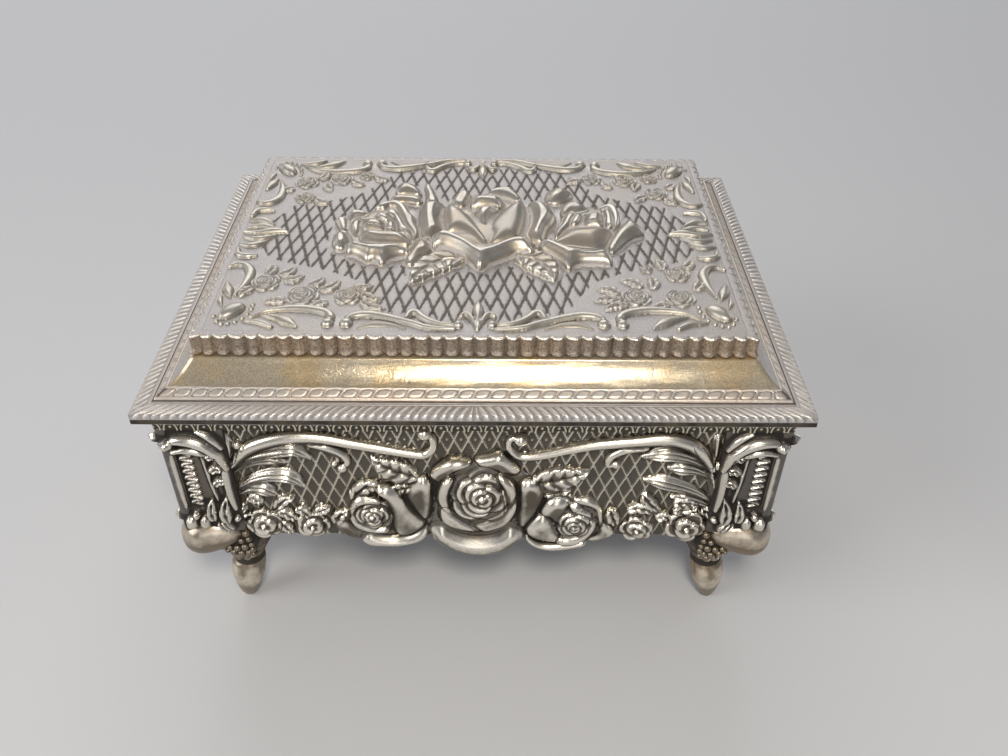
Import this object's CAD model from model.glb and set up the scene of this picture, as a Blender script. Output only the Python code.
import math

import bpy
import numpy as np
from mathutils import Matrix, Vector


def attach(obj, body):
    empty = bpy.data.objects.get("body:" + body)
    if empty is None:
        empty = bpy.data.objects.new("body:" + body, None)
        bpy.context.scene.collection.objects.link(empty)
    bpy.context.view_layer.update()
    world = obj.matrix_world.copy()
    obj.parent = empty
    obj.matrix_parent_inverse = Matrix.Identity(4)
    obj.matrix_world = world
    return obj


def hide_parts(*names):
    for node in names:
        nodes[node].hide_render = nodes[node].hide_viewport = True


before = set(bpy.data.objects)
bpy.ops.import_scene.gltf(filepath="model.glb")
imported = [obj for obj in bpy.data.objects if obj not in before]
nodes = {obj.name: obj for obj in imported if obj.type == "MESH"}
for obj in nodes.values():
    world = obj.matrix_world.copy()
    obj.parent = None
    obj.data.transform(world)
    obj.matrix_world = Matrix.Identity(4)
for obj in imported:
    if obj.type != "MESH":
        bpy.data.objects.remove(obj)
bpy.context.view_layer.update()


# ---- Body casting ---------------------------------------------------------
# The open box under the lid is one zinc die casting: thin walls, a stepped lip
# and a ledge inside. It is plated with silver over brass, blackened in a dip
# and rubbed back by hand, so the hollows stay dark and the high places shine.

class Bench:
    """Adds nodes to one tree and joins them. An input takes a number, a colour or another node's output."""

    def __init__(self, tree):
        self.tree = tree

    def feed(self, inputs, values):
        """Gives each of the named inputs its value."""
        for socket, value in values.items():
            if isinstance(value, bpy.types.NodeSocket):
                self.tree.links.new(value, inputs[socket])
            else:
                inputs[socket].default_value = value

    def add(self, kind, values=None, **settings):
        """A new node with the given settings and values of its inputs."""
        node = self.tree.nodes.new(kind)
        for name, value in settings.items():
            setattr(node, name, value)
        self.feed(node.inputs, values or {})
        return node

    def math(self, kind, a, b=0.0, c=0.0):
        """The sum, product or other operation of the given kind."""
        return self.add("ShaderNodeMath", {0: a, 1: b, 2: c}, operation=kind).outputs[0]

    def scaled(self, vector, by):
        """A vector or colour multiplied part by part."""
        return self.add("ShaderNodeVectorMath", {0: vector, 1: by}, operation="MULTIPLY").outputs[0]

    def place(self):
        """The place on the object, in metres."""
        return self.add("ShaderNodeTexCoord").outputs["Object"]

    def noise(self, place, scale, detail=2.0, roughness=0.5):
        """Cloudy pattern; scale is how many blotches fit in a metre."""
        return self.add("ShaderNodeTexNoise", {"Vector": place, "Scale": scale, "Detail": detail,
                                               "Roughness": roughness}).outputs["Fac"]

    def ramp(self, value, low, high, start=0.0, end=1.0):
        """Goes smoothly from start to end while value goes from low to high."""
        return self.add("ShaderNodeMapRange", {"Value": value, "From Min": low, "From Max": high, "To Min": start,
                                               "To Max": end}, interpolation_type="SMOOTHSTEP").outputs["Result"]

    def blend(self, share, first, second):
        """A number that goes from first to second with share."""
        return self.add("ShaderNodeMix", {0: share, 2: first, 3: second}, data_type="FLOAT").outputs[0]

    def mix(self, share, first, second):
        """A colour that goes from first to second with share."""
        first, second = ((*c, 1.0) if isinstance(c, tuple) else c for c in (first, second))
        return self.add("ShaderNodeMix", {0: share, 6: first, 7: second}, data_type="RGBA").outputs[2]

    def bump(self, height, strength=1.0):
        """The normal of a surface with the given height in mm."""
        node = self.add("ShaderNodeBump", {"Height": height, "Strength": strength, "Distance": 0.001})
        return node.outputs["Normal"]


def new_group(name, inputs, outputs):
    """A shader node group with named sockets: inputs are (name, kind, value), outputs (name, kind)."""
    tree = bpy.data.node_groups.new(name, "ShaderNodeTree")
    for label, kind, value in inputs:
        tree.interface.new_socket(label, in_out="INPUT", socket_type=kind).default_value = value
    for label, kind in outputs:
        tree.interface.new_socket(label, in_out="OUTPUT", socket_type=kind)
    return tree, Bench(tree), tree.nodes.new("NodeGroupInput").outputs, tree.nodes.new("NodeGroupOutput").inputs


NUMBER, COLOUR = "NodeSocketFloat", "NodeSocketColor"
GREY = (0.5, 0.5, 0.5, 1.0)

# Antique plating: the relief value, roughened by noise, picks recess, field or high colour, and
# broad patches let the warm brass under the silver show.
antique, bench, given, wanted = new_group(
    "antique plating",
    [("Relief", NUMBER, 0.0), ("Recess", COLOUR, GREY), ("Field", COLOUR, GREY), ("Warm", COLOUR, GREY),
     ("High", COLOUR, GREY), ("Recess Edge", NUMBER, -0.15), ("High Edge", NUMBER, 0.3),
     ("Warm Share", NUMBER, 0.5), ("Field Roughness", NUMBER, 0.45), ("High Roughness", NUMBER, 0.28),
     ("Speckle", NUMBER, 0.4), ("Field Metallic", NUMBER, 1.0)],
    [("Colour", COLOUR), ("Roughness", NUMBER), ("Metallic", NUMBER)])
place = bench.place()
uneven = bench.math("MULTIPLY_ADD", bench.noise(place, 520.0, 4.0, 0.6), 0.5, -0.25)
patches = bench.noise(place, 85.0, 3.0, 0.55)
specks = bench.noise(place, 3200.0, 2.0, 0.6)
level = bench.math("ADD", given["Relief"], uneven)
recess = bench.ramp(bench.math("SUBTRACT", level, given["Recess Edge"]), -0.22, 0.12)
high = bench.ramp(bench.math("SUBTRACT", level, given["High Edge"]), -0.12, 0.3)
warmth = bench.ramp(bench.math("ADD", patches, bench.math("MULTIPLY", uneven, 0.5)), 0.42, 0.62)
warmth = bench.math("MULTIPLY", warmth, given["Warm Share"])
speckled = bench.math("ADD", bench.math("MULTIPLY", bench.math("SUBTRACT", specks, 0.5), given["Speckle"]), 1.0)
field = bench.mix(warmth, given["Field"], given["Warm"])
colour = bench.mix(high, bench.mix(recess, given["Recess"], field), given["High"])
rough = bench.math("ADD", given["Field Roughness"], bench.math("MULTIPLY", uneven, 0.3))
shine = bench.blend(high, rough, given["High Roughness"])
bench.feed(wanted, {"Colour": bench.scaled(colour, speckled), "Roughness": bench.blend(recess, 0.72, shine),
                    "Metallic": bench.blend(recess, 0.5, given["Field Metallic"])})

# Casting grain: fine grit and soft dents, as a height in mm.
grain, bench, given, wanted = new_group(
    "casting grain", [("Grit", NUMBER, 0.012), ("Dents", NUMBER, 0.03)], [("Height", NUMBER)])
place = bench.place()
grit = bench.math("MULTIPLY", bench.noise(place, 4200.0, 3.0, 0.65), given["Grit"])
dents = bench.math("MULTIPLY", bench.noise(place, 700.0, 2.0), given["Dents"])
bench.feed(wanted, {"Height": bench.math("ADD", grit, dents)})


def new_finish(name):
    """A material, the bench for its nodes, and its shader's inputs."""
    material = bpy.data.materials.new(name)
    material.use_nodes = True
    return material, Bench(material.node_tree), material.node_tree.nodes["Principled BSDF"].inputs


def plated_metal(name, recess, field, warm, high, recess_edge=-0.15, high_edge=0.3, warm_share=0.5,
                 roughness=0.45, shine=0.28, grit=0.012, dents=0.03, speckle=0.4, metallic=1.0):
    """A cast metal finish built from the antique plating and casting grain groups. metallic below 1 makes it
    matt, as silver plating is where it has never been rubbed."""
    material, bench, shader = new_finish(name)
    relief = bench.add("ShaderNodeAttribute", attribute_name="relief").outputs["Fac"]
    finish = bench.add("ShaderNodeGroup", node_tree=antique)
    colours = [(*colour, 1.0) for colour in (recess, field, warm, high)]
    bench.feed(finish.inputs, dict(enumerate(
        [relief, *colours, recess_edge, high_edge, warm_share, roughness, shine, speckle, metallic])))
    grit_node = bench.add("ShaderNodeGroup", {"Grit": grit, "Dents": dents}, node_tree=grain)
    bench.feed(shader, {"Base Color": finish.outputs["Colour"], "Roughness": finish.outputs["Roughness"],
                        "Metallic": finish.outputs["Metallic"], "Normal": bench.bump(grit_node.outputs["Height"])})
    return material


def dress(node, material):
    """Gives a carried-over CAD node its finish."""
    nodes[node].data.materials.clear()
    nodes[node].data.materials.append(material)


body_metal = plated_metal("body_plating", (0.030, 0.027, 0.022), (0.26, 0.235, 0.19), (0.33, 0.26, 0.17),
                          (0.66, 0.60, 0.49), roughness=0.5)
dress("box_body", body_metal)


# ---- Lip band of the body -------------------------------------------------
# A narrow band round the top of the body, cast with the walls: a row of half
# rings and fans. It stops either side of the two hinges at the back.

def make_piece(name, body, shape, material):
    """A mesh piece from a shape: points in mm, a list of face arrays, and relief, which is kept as an
    attribute: above zero on high places, below zero in hollows."""
    points, faces, relief = shape
    sizes = np.concatenate([np.full(len(face), face.shape[1]) for face in faces])
    loops = np.concatenate([face.ravel() for face in faces]).astype(np.int32)
    mesh = bpy.data.meshes.new(name)
    mesh.vertices.add(len(points))
    mesh.vertices.foreach_set("co", (points * 0.001).astype(np.float32).ravel())
    mesh.loops.add(len(loops))
    mesh.loops.foreach_set("vertex_index", loops)
    mesh.polygons.add(len(sizes))
    mesh.polygons.foreach_set("loop_start", (np.cumsum(sizes) - sizes).astype(np.int32))
    mesh.polygons.foreach_set("use_smooth", np.ones(len(sizes), bool))
    mesh.update(calc_edges=True)
    values = np.broadcast_to(np.asarray(relief, np.float32), len(points))
    mesh.attributes.new("relief", "FLOAT", "POINT").data.foreach_set("value", np.ascontiguousarray(values))
    mesh.materials.append(material)
    piece = bpy.data.objects.new(name, mesh)
    bpy.context.scene.collection.objects.link(piece)
    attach(piece, body)
    return piece


def joined(shapes):
    """One shape from several."""
    shift = np.cumsum([0] + [len(points) for points, _, _ in shapes[:-1]])
    return (np.concatenate([points for points, _, _ in shapes]),
            [face + n for (_, faces, _), n in zip(shapes, shift) for face in faces],
            np.concatenate([np.broadcast_to(relief, len(points)) for points, _, relief in shapes]))


def softened(h, reach):
    """Heights averaged over a square of the given half width in cells, twice, with the edges held."""
    for _ in range(2):
        for axis in (0, 1):
            pad = [(reach + 1, reach) if k == axis else (0, 0) for k in (0, 1)]
            total = np.cumsum(np.pad(h, pad, mode="edge"), axis)
            size = total.shape[axis]
            h = (np.take(total, range(2 * reach + 1, size), axis)
                 - np.take(total, range(0, size - 2 * reach - 1), axis)) / (2 * reach + 1)
    return h


def corners(index):
    """The four corners of every cell of a grid of point numbers, turning left round the cell."""
    return np.stack([index[:-1, :-1], index[:-1, 1:], index[1:, 1:], index[1:, :-1]], -1)


def slab(top, bottom, relief, cells=None, block=4):
    """A closed solid over the chosen cells of a grid, or over all of them: the top sheet, a bottom sheet with
    one face for every block by block cells, and a wall along every free edge. The chosen cells are widened
    to whole blocks."""
    rows, cols = top.shape[:2]
    tall, wide = (rows - 1) // block, (cols - 1) // block
    if cells is None:
        cells = np.ones((rows - 1, cols - 1), bool)
    blocks = cells.reshape(tall, block, wide, block).any((1, 3))
    cells = np.repeat(np.repeat(blocks, block, 0), block, 1)
    index = np.arange(rows * cols).reshape(rows, cols)
    under = rows * cols
    faces = [corners(index)[cells], corners(index[::block, ::block])[blocks][:, ::-1] + under]
    framed, run = np.pad(blocks, 1), np.arange(block, -1, -1)
    for down, right in ((-1, 0), (0, 1), (1, 0), (0, -1)):
        row, col = np.nonzero(blocks & ~framed[1 + down:tall + 1 + down, 1 + right:wide + 1 + right])
        row, col = (row + (down == 1 or right == -1)) * block, (col + (down == 1 or right == 1)) * block
        edge = index[row[:, None] + right * run, col[:, None] - down * run]
        faces.append(np.concatenate([edge[:, -1:] + under, edge[:, :1] + under, edge], 1))
    used = np.unique(np.concatenate([face.ravel() for face in faces]))
    compact = np.zeros(2 * under, int)
    compact[used] = np.arange(len(used))
    points = np.concatenate([top.reshape(-1, 3), bottom.reshape(-1, 3)])[used]
    values = np.concatenate([relief.ravel(), np.full(under, -0.4)])[used]
    return points, [compact[face] for face in faces], values


def placed(x, y, z):
    """A grid of places from their three parts; a part may be one number."""
    return np.stack(np.broadcast_arrays(x, y, z), -1).astype(float)


def quarter_turned(points, turns):
    """Points turned about the upright axis by a number of quarter turns."""
    for _ in range(turns):
        points = np.stack([-points[..., 1], points[..., 0], points[..., 2]], -1)
    return points


def smooth_step(value, low=0.0, high=1.0):
    """Nought below low, one above high, and an S curve between."""
    share = np.clip((value - low) / (high - low), 0, 1)
    return share * share * (3 - 2 * share)


HALF_LENGTH, HALF_DEPTH = 57.5, 43.6
LIP_FOOT, LIP_TOP, LIP_INSET = 52.7, 55.75, 2.4
RING_PITCH = 2.9
HINGES, HINGE_HALF_SPAN = (-30.0, 30.0), 7.9


def lip_relief(along, height):
    """Half rings side by side with a stud in each, short rays fanning out between them, and a plain rail
    over them. Each line is a ridge that fades with distance from a curve."""
    across = (along / RING_PITCH - np.round(along / RING_PITCH)) * RING_PITCH
    ring = np.hypot(across, (height - LIP_FOOT) * 0.7) - 1.12
    arcs = 0.34 * np.exp(-(ring / 0.17) ** 2)
    studs = 0.26 * np.exp(-((across / 0.3) ** 2 + ((height - 53.3) / 0.35) ** 2))
    beside = np.abs(across) - RING_PITCH / 2
    fans = 0.32 * np.exp(-((np.abs(beside) - 0.45 * (height - 53.9)) / 0.13) ** 2) * smooth_step(height, 53.8, 54.2)
    rays = 0.30 * np.exp(-(beside / 0.12) ** 2) * smooth_step(height, 53.3, 53.6)
    rail = 0.24 * np.exp(-((height - 55.5) / 0.2) ** 2)
    return np.maximum.reduce([arcs, studs, fans * (ring > 0), rays * (ring > 0), rail + 0 * along])


lip_parts = []
for turns in range(4):
    face, end = ((HALF_DEPTH, HALF_LENGTH) if turns % 2 == 0 else (HALF_LENGTH, HALF_DEPTH))
    face, end = face - LIP_INSET, end - LIP_INSET + 0.05
    along, height = np.meshgrid(np.linspace(-end, end, 4 * round(end / 0.3) + 1),
                                np.linspace(LIP_FOOT - 0.2, LIP_TOP, 21))
    relief = lip_relief(along, height)
    cells = np.ones((along.shape[0] - 1, along.shape[1] - 1), bool)
    if turns == 2:
        for middle in HINGES:
            cells &= np.abs(along[1:, 1:] - middle) > HINGE_HALF_SPAN
    sheets = [quarter_turned(placed(along, -out, height), turns) for out in (face + 0.03 + relief, face - 0.7)]
    lip_parts.append(slab(*sheets, np.clip((relief - softened(relief, 4)) / 0.12, -1, 1), cells))
lip_metal = plated_metal("lip_plating", (0.075, 0.067, 0.054), (0.23, 0.205, 0.17), (0.28, 0.23, 0.155),
                         (0.72, 0.66, 0.53), recess_edge=0.0, high_edge=0.35, roughness=0.45)
make_piece("body_lip_band", "box", joined(lip_parts), lip_metal)


# ---- Walls ----------------------------------------------------------------
# Each wall is cast in one with the body: roses, leaves and long scrolls in high
# relief over a raised diamond netting. The back repeats the front, and the
# shorter sides carry the same motifs closer together.

def quarter_round(depth, width):
    """Nought at an edge, one from width inwards, and a quarter circle between."""
    return np.sqrt(1 - (1 - np.clip(depth / width, 0, 1)) ** 2)


def pairs(row):
    """The places in a row of numbers x, y, x, y and so on."""
    return np.reshape(row, (-1, 2))


class Relief:
    """Heights of cast ornament over a flat patch of metal.

    x and y are places in mm on a regular grid, ground is the height there before any ornament,
    h is the height with it, and on marks where ornament stands. Every form rises from its outline in a
    quarter round, and presses a narrow groove into older forms beside it, so that they read one over
    the other."""

    def __init__(self, x0, x1, y0, y1, pitch, ground=None):
        cols, rows = 4 * round((x1 - x0) / pitch / 4) + 1, 4 * round((y1 - y0) / pitch / 4) + 1
        self.x, self.y = np.meshgrid(np.linspace(x0, x1, cols), np.linspace(y0, y1, rows))
        self.pitch = pitch
        self.steps = (y1 - y0) / (rows - 1), (x1 - x0) / (cols - 1)
        self.ground = np.zeros_like(self.x) if ground is None else ground(self.x, self.y)
        self.h = self.ground.copy()
        self.on = np.zeros(self.x.shape, bool)

    def cells(self, reach):
        """How many cells make a reach in mm, and at least one."""
        return max(1, round(reach / self.pitch))

    def near(self, x, y, reach):
        """The part of the grid within reach of the given places."""
        spans = []
        rows, cols = self.x.shape
        for values, start, count, step in ((y, self.y[0, 0], rows, self.steps[0]),
                                           (x, self.x[0, 0], cols, self.steps[1])):
            low = int((np.min(values) - reach - start) / step)
            high = int((np.max(values) + reach - start) / step) + 2
            spans.append(slice(min(max(low, 0), count - 1), min(max(high, 1), count)))
        return tuple(spans)

    def lay(self, part, depth, height, groove=0.3):
        """Raises the surface to height where depth, the distance inside the outline, is above zero, and presses
        a groove 0.35 mm wide into what stands beside it."""
        h, on, ground = self.h[part], self.on[part], self.ground[part]
        beside = np.clip(1 + depth / 0.35, 0, 1) * (depth <= 0)
        pressed = np.maximum(np.maximum(h - groove * beside ** 2, ground + 0.05), np.minimum(h, ground))
        h[...] = np.where(on & (beside > 0), pressed, h)
        inside = depth > 0
        h[...] = np.where(inside, np.maximum(h, height), h)
        on |= inside

    def dome(self, x, y, size, height, turn=0.0, squash=1.0, groove=0.3):
        """A round or oval swell: height falls as the root of one minus distance squared."""
        part = self.near([x], [y], max(size, size * squash) + 0.5)
        c, s = math.cos(math.radians(turn)), math.sin(math.radians(turn))
        dx, dy = self.x[part] - x, self.y[part] - y
        away = np.hypot((dx * c + dy * s) / size, (dy * c - dx * s) / (size * squash))
        swell = np.sqrt(np.clip(1 - away ** 2, 0, 1))
        self.lay(part, (1 - away) * size * min(squash, 1), self.ground[part] + height * swell, groove)

    def ridge(self, points, widths, height, flutes=0, knobs=(0, 0)):
        """A rounded bar along a smooth path. Its half width follows widths, its height follows the width,
        flutes are grooves along it, and knobs are the sizes of the balls at its two ends."""
        path = smooth_path(points)
        widths = np.asarray(widths, float)
        part = self.near(path[:, 0], path[:, 1], widths.max() + 0.5)
        gap, along, side = path_distance(self.x[part], self.y[part], path)
        taper = smooth_path(np.stack([np.linspace(0, 1, len(widths)), widths], -1))
        width = np.maximum(np.interp(along, taper[:, 0], taper[:, 1]), 0.05)
        swell = np.sqrt(np.clip(1 - (gap / width) ** 2, 0, 1))
        if flutes:
            swell = swell * (0.78 + 0.22 * np.cos(2 * math.pi * flutes * gap * side / width))
        tall = height * (0.45 + 0.55 * width / widths.max()) * swell
        self.lay(part, width - gap, self.ground[part] + tall)
        for size, (x, y) in zip(knobs, (path[0], path[-1])):
            if size:
                self.dome(x, y, size, height * 1.1)

    def petal(self, outline, height, tilt, cup, edge, groove=0.35, grow=0.0, over=0.03):
        """A petal with the given outline, widened by grow. A plane tilted by tilt (mm per mm) meets the
        ground in a quarter round as wide as edge, and sinks by cup from there to its middle (or swells, if cup
        is below 0), less in a petal under 6 mm wide. It stands at least over above the ground."""
        path = smooth_path(outline, closed=True)
        part = self.near(path[:, 0], path[:, 1], 1.0 + grow)
        x, y = self.x[part], self.y[part]
        depth = softened(outline_depth(x, y, path), self.cells(0.35)) + grow
        middle, deepest = path.mean(0), depth.max()
        edge = min(edge, 0.9 * deepest)
        plane = height + (x - middle[0]) * tilt[0] + (y - middle[1]) * tilt[1]
        sag = cup * min(deepest / 3, 1) * smooth_step(depth, 0.45 * edge, deepest)
        top = plane * quarter_round(depth, edge) - sag
        self.lay(part, depth, np.maximum(top, self.ground[part] + over * (depth > 0)), groove)

    def leaf(self, points, width, height, veins, teeth, slant=0.8, lift=0.0):
        """A leaf along a smooth path from stalk to tip: half width follows a sine, the edge is toothed, and a
        groove down the middle and slanting grooves each side are the veins."""
        path = smooth_path(points)
        part = self.near(path[:, 0], path[:, 1], width + 0.5)
        gap, along, _ = path_distance(self.x[part], self.y[part], path)
        steps = along * veins - slant * gap / width
        notch = steps - np.floor(steps)
        half = width * np.sin(math.pi * np.clip(along, 0.0, 1.0) ** 0.72) ** 0.75 * (1 - teeth * (1 - notch))
        depth = half - gap
        body = 0.62 + 0.38 * np.sin(math.pi * np.clip(gap / np.maximum(half, 0.05), 0, 1) * 0.7 + 0.3)
        cuts = 0.32 * np.exp(-(gap / 0.2) ** 2) + 0.24 * np.exp(-((notch - 0.5) / 0.17) ** 2) * (gap > 0.12)
        self.lay(part, depth, self.ground[part] + (lift + height * (body - cuts)) * quarter_round(depth, 0.4))

    full_rose = ((5, 1.0, 0.15, 0.62, 0.0), (4, 0.77, 0.34, 0.80, 0.5), (3, 0.55, 0.54, 0.95, 0.2),
                 (2, 0.34, 0.74, 1.06, 0.6))

    def rose(self, x, y, size, height, turn, rings=full_rose):
        """A rose: rings of petals, each smaller and higher than the last, round a bud. Round a ring each petal
        rises from under the one before it, and its edge bows outward and rolls up. For each ring, rings gives
        the count of petals, their reach as a share of size, their inner and outer height, and their turn."""
        part = self.near([x], [y], size + 0.5)
        dx, dy = self.x[part] - x, self.y[part] - y
        away, bearing = np.hypot(dx, dy), (np.arctan2(dy, dx) + math.radians(turn)) / (2 * math.pi)
        for count, reach, low, high, twist in rings:
            share = bearing * count + twist
            share = share - np.floor(share)
            bow = np.sin(math.pi * share)
            outline = size * reach * (0.80 + 0.20 * bow ** 0.7)
            depth, inward = outline - away, np.clip(away / outline, 0, 1)
            top = height * (low + (high - low) * inward ** 2 * (0.75 + 0.25 * bow) + 0.2 * (share - 0.5))
            self.lay(part, depth, self.ground[part] + top * quarter_round(depth, 0.12 * size), 0.35)
        self.dome(x, y, 0.15 * size, height * 1.02, groove=0.35)

    def at(self, x, y):
        """The height nearest to each of the given places."""
        col = np.clip(np.round((x - self.x[0, 0]) / self.steps[1]).astype(int), 0, self.x.shape[1] - 1)
        row = np.clip(np.round((y - self.y[0, 0]) / self.steps[0]).astype(int), 0, self.x.shape[0] - 1)
        return self.h[row, col]

    def shade(self, fine=0.5, broad=1.6, fine_step=0.22, broad_step=0.55, broad_share=0.55, upper=0.0):
        """How far each place stands above or below the average round it, from -1 in hollows to 1 on crests.
        With upper, slopes that face up are rubbed brighter and slopes that face down are left darker."""
        near = (self.h - softened(self.h, self.cells(fine))) / fine_step
        wide = (self.h - softened(self.h, self.cells(broad))) / broad_step
        slope = -np.gradient(softened(self.h, 1), self.steps[0], axis=0) / 0.8 if upper else 0.0
        return np.clip(0.55 * np.clip(near, -1.2, 1.2) + broad_share * np.clip(wide, -1.2, 1.2)
                       + upper * np.clip(slope, -1, 1), -1, 1)

    def islands(self):
        """The cells that carry ornament."""
        return self.on[:-1, :-1] | self.on[1:, :-1] | self.on[:-1, 1:] | self.on[1:, 1:]


def smooth_path(points, closed=False):
    """A smooth curve through the points, six for one: between two points it is the cubic whose slope at each is
    that of the line through its two neighbours."""
    p = pairs(points).astype(float)
    if closed:
        p = np.concatenate([p[-1:], p, p[:2]])
    else:
        p = np.concatenate([2 * p[:1] - p[1:2], p, 2 * p[-1:] - p[-2:-1]])
    t = (np.arange(6) / 6)[None, :, None]
    a, b, c, d = (p[k:len(p) - 3 + k, None] for k in range(4))
    curve = b + 0.5 * t * (c - a + t * (2 * a - 5 * b + 4 * c - d + t * (3 * (b - c) + d - a)))
    curve = curve.reshape(-1, 2)
    return curve if closed else np.concatenate([curve, p[-2:-1]])


def to_segments(x, y, start, end):
    """For each place and each straight piece from start to end: the distance, and the share along the piece."""
    run = end - start
    dx, dy = x[..., None] - start[:, 0], y[..., None] - start[:, 1]
    share = np.clip((dx * run[:, 0] + dy * run[:, 1]) / np.maximum((run ** 2).sum(1), 1e-9), 0, 1)
    return np.hypot(dx - share * run[:, 0], dy - share * run[:, 1]), share


def path_distance(x, y, path):
    """Each place's distance from an open path, how far along the path the nearest point is (0 to 1), and
    which side it is on (1 left, -1 right)."""
    start, end = path[:-1], path[1:]
    gaps, share = to_segments(x, y, start, end)
    nearest = gaps.argmin(-1)
    lengths = np.hypot(*(end - start).T)
    reached = np.concatenate([[0], np.cumsum(lengths)])
    pick = np.take_along_axis(share, nearest[..., None], -1)[..., 0]
    along = (reached[nearest] + pick * lengths[nearest]) / reached[-1]
    run = (end - start)[nearest]
    turn = run[..., 0] * (y - start[nearest, 1]) - run[..., 1] * (x - start[nearest, 0])
    return gaps.min(-1), along, np.where(turn > 0, 1.0, -1.0)


def outline_depth(x, y, outline):
    """How far each place lies inside a closed outline, in mm, and negative outside it: the distance to the
    nearest edge, signed by whether a line to the right crosses the outline an odd number of times."""
    start, end = outline, np.roll(outline, -1, 0)
    gap = to_segments(x, y, start, end)[0].min(-1)
    py = y[..., None]
    rise = np.where(start[:, 1] == end[:, 1], 1e-9, end[:, 1] - start[:, 1])
    cross = start[:, 0] + (py - start[:, 1]) * (end[:, 0] - start[:, 0]) / rise
    odd = (((start[:, 1] > py) != (end[:, 1] > py)) & (x[..., None] < cross)).sum(-1) % 2 == 1
    return np.where(odd, gap, -gap)


# Scrolls and fronds: height, half widths, flutes, size of the ball at the end, and the path. Every path and
# outline is a row of places: along the wall, up it, and so on.
FROND = (0.5, 1.1, 1.6, 1.9, 0.5)
LONG_SCROLL = (0.98, 1.34, 1.46, 1.46, 1.34, 1.22, 1.16, 1.1, 1.04, 0.98, 0.85, 0.73)
SCROLLS = (
    (1.3, (1.1, 1.34, 1.22, 0.98), 1, 0, (-44.9, 46.3, -44.6, 41.8, -45.7, 36.6, -46.1, 32.6)),
    (1.3, (0.85, 1.1, 1.34, 1.22, 0.98), 1, 0, (42.7, 49.7, 42.8, 46.1, 42.6, 42.3, 44, 37.2, 44.3, 32.9)),
    (1.4, FROND, 2, 0, (-45, 34.7, -41.9, 36.6, -39.4, 36.6, -36.7, 34.9)),
    (1.4, FROND, 2, 0, (44.2, 32.2, 40.8, 33.8, 36.4, 34.8)),
    (1.6, FROND, 2, 0, (-44.2, 36.7, -40.7, 39.1, -36.9, 40.2, -33.7, 39.7, -31.6, 37.3)),
    (1.6, FROND, 2, 0, (43.7, 34.1, 39.8, 36.7, 35.1, 38.5, 30.8, 39.4)),
    (1.4, FROND, 2, 0, (-44.1, 40.8, -40.4, 43.6, -37, 44.6, -33.9, 43.4)),
    (1.4, FROND, 2, 0, (42.6, 40.3, 39.1, 42, 35, 42.3)),
    (1.8, FROND, 2, 0, (-44, 42, -40.1, 45, -36, 46.3, -32.4, 46.8, -29.5, 44.6)),
    (1.8, FROND, 2, 0, (42.7, 42, 38.7, 44.8, 34.2, 46, 29.8, 45.3)),
    (1.1, (0.61, 0.73, 0.61, 0.49), 0, 0.6, (-27.5, 46.9, -25.3, 45.9, -24.6, 44.5, -25.4, 43.2)),
    (1.4, (0.98, 0.98, 0.85, 0.73, 0.61), 0, 1, (-29, 48.3, -26, 47.1, -23.9, 45.7, -23, 43.7, -24.1, 42.2)),
    (1.4, (0.98, 0.98, 0.85, 0.73, 0.61), 0, 1, (30, 47.7, 26.5, 46.9, 24.2, 45.2, 23.8, 43.2, 25.2, 43.5)),
    (1.8, LONG_SCROLL, 0, 1.35, (-44.3, 42.5, -41.1, 46.2, -37.4, 48.4, -32.3, 49.7, -27.1, 49.5, -22, 48.3, -16.8,
     47.1, -11.6, 45.9, -9, 45.7, -7.5, 47.4, -7.7, 49.6, -8.9, 50.8)),
    (1.8, (*LONG_SCROLL, 0.61), 0, 1.35, (42.8, 42.5, 40, 46.7, 36.8, 48.9, 33.2, 49.6, 28.9, 49.1, 21.9, 48.3, 16.7,
     47.1, 11.5, 45.6, 8.1, 45.3, 6.3, 46.8, 5.9, 48.5, 6.6, 49.7, 8, 49.4)),
    (1.3, (1.1, 1.22, 0.49), 1, 0, (-44.5, 44.3, -45.7, 47.2, -47.2, 48.9)),
    (1.3, (0.98, 1.22, 0.49), 1, 0, (-43.7, 44.8, -43.5, 47.7, -44.1, 50.1)),
    (1.3, (1.1, 1.22, 0.49), 1, 0, (42.2, 44.3, 40.5, 46.8, 39.1, 48.2)),
)
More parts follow.
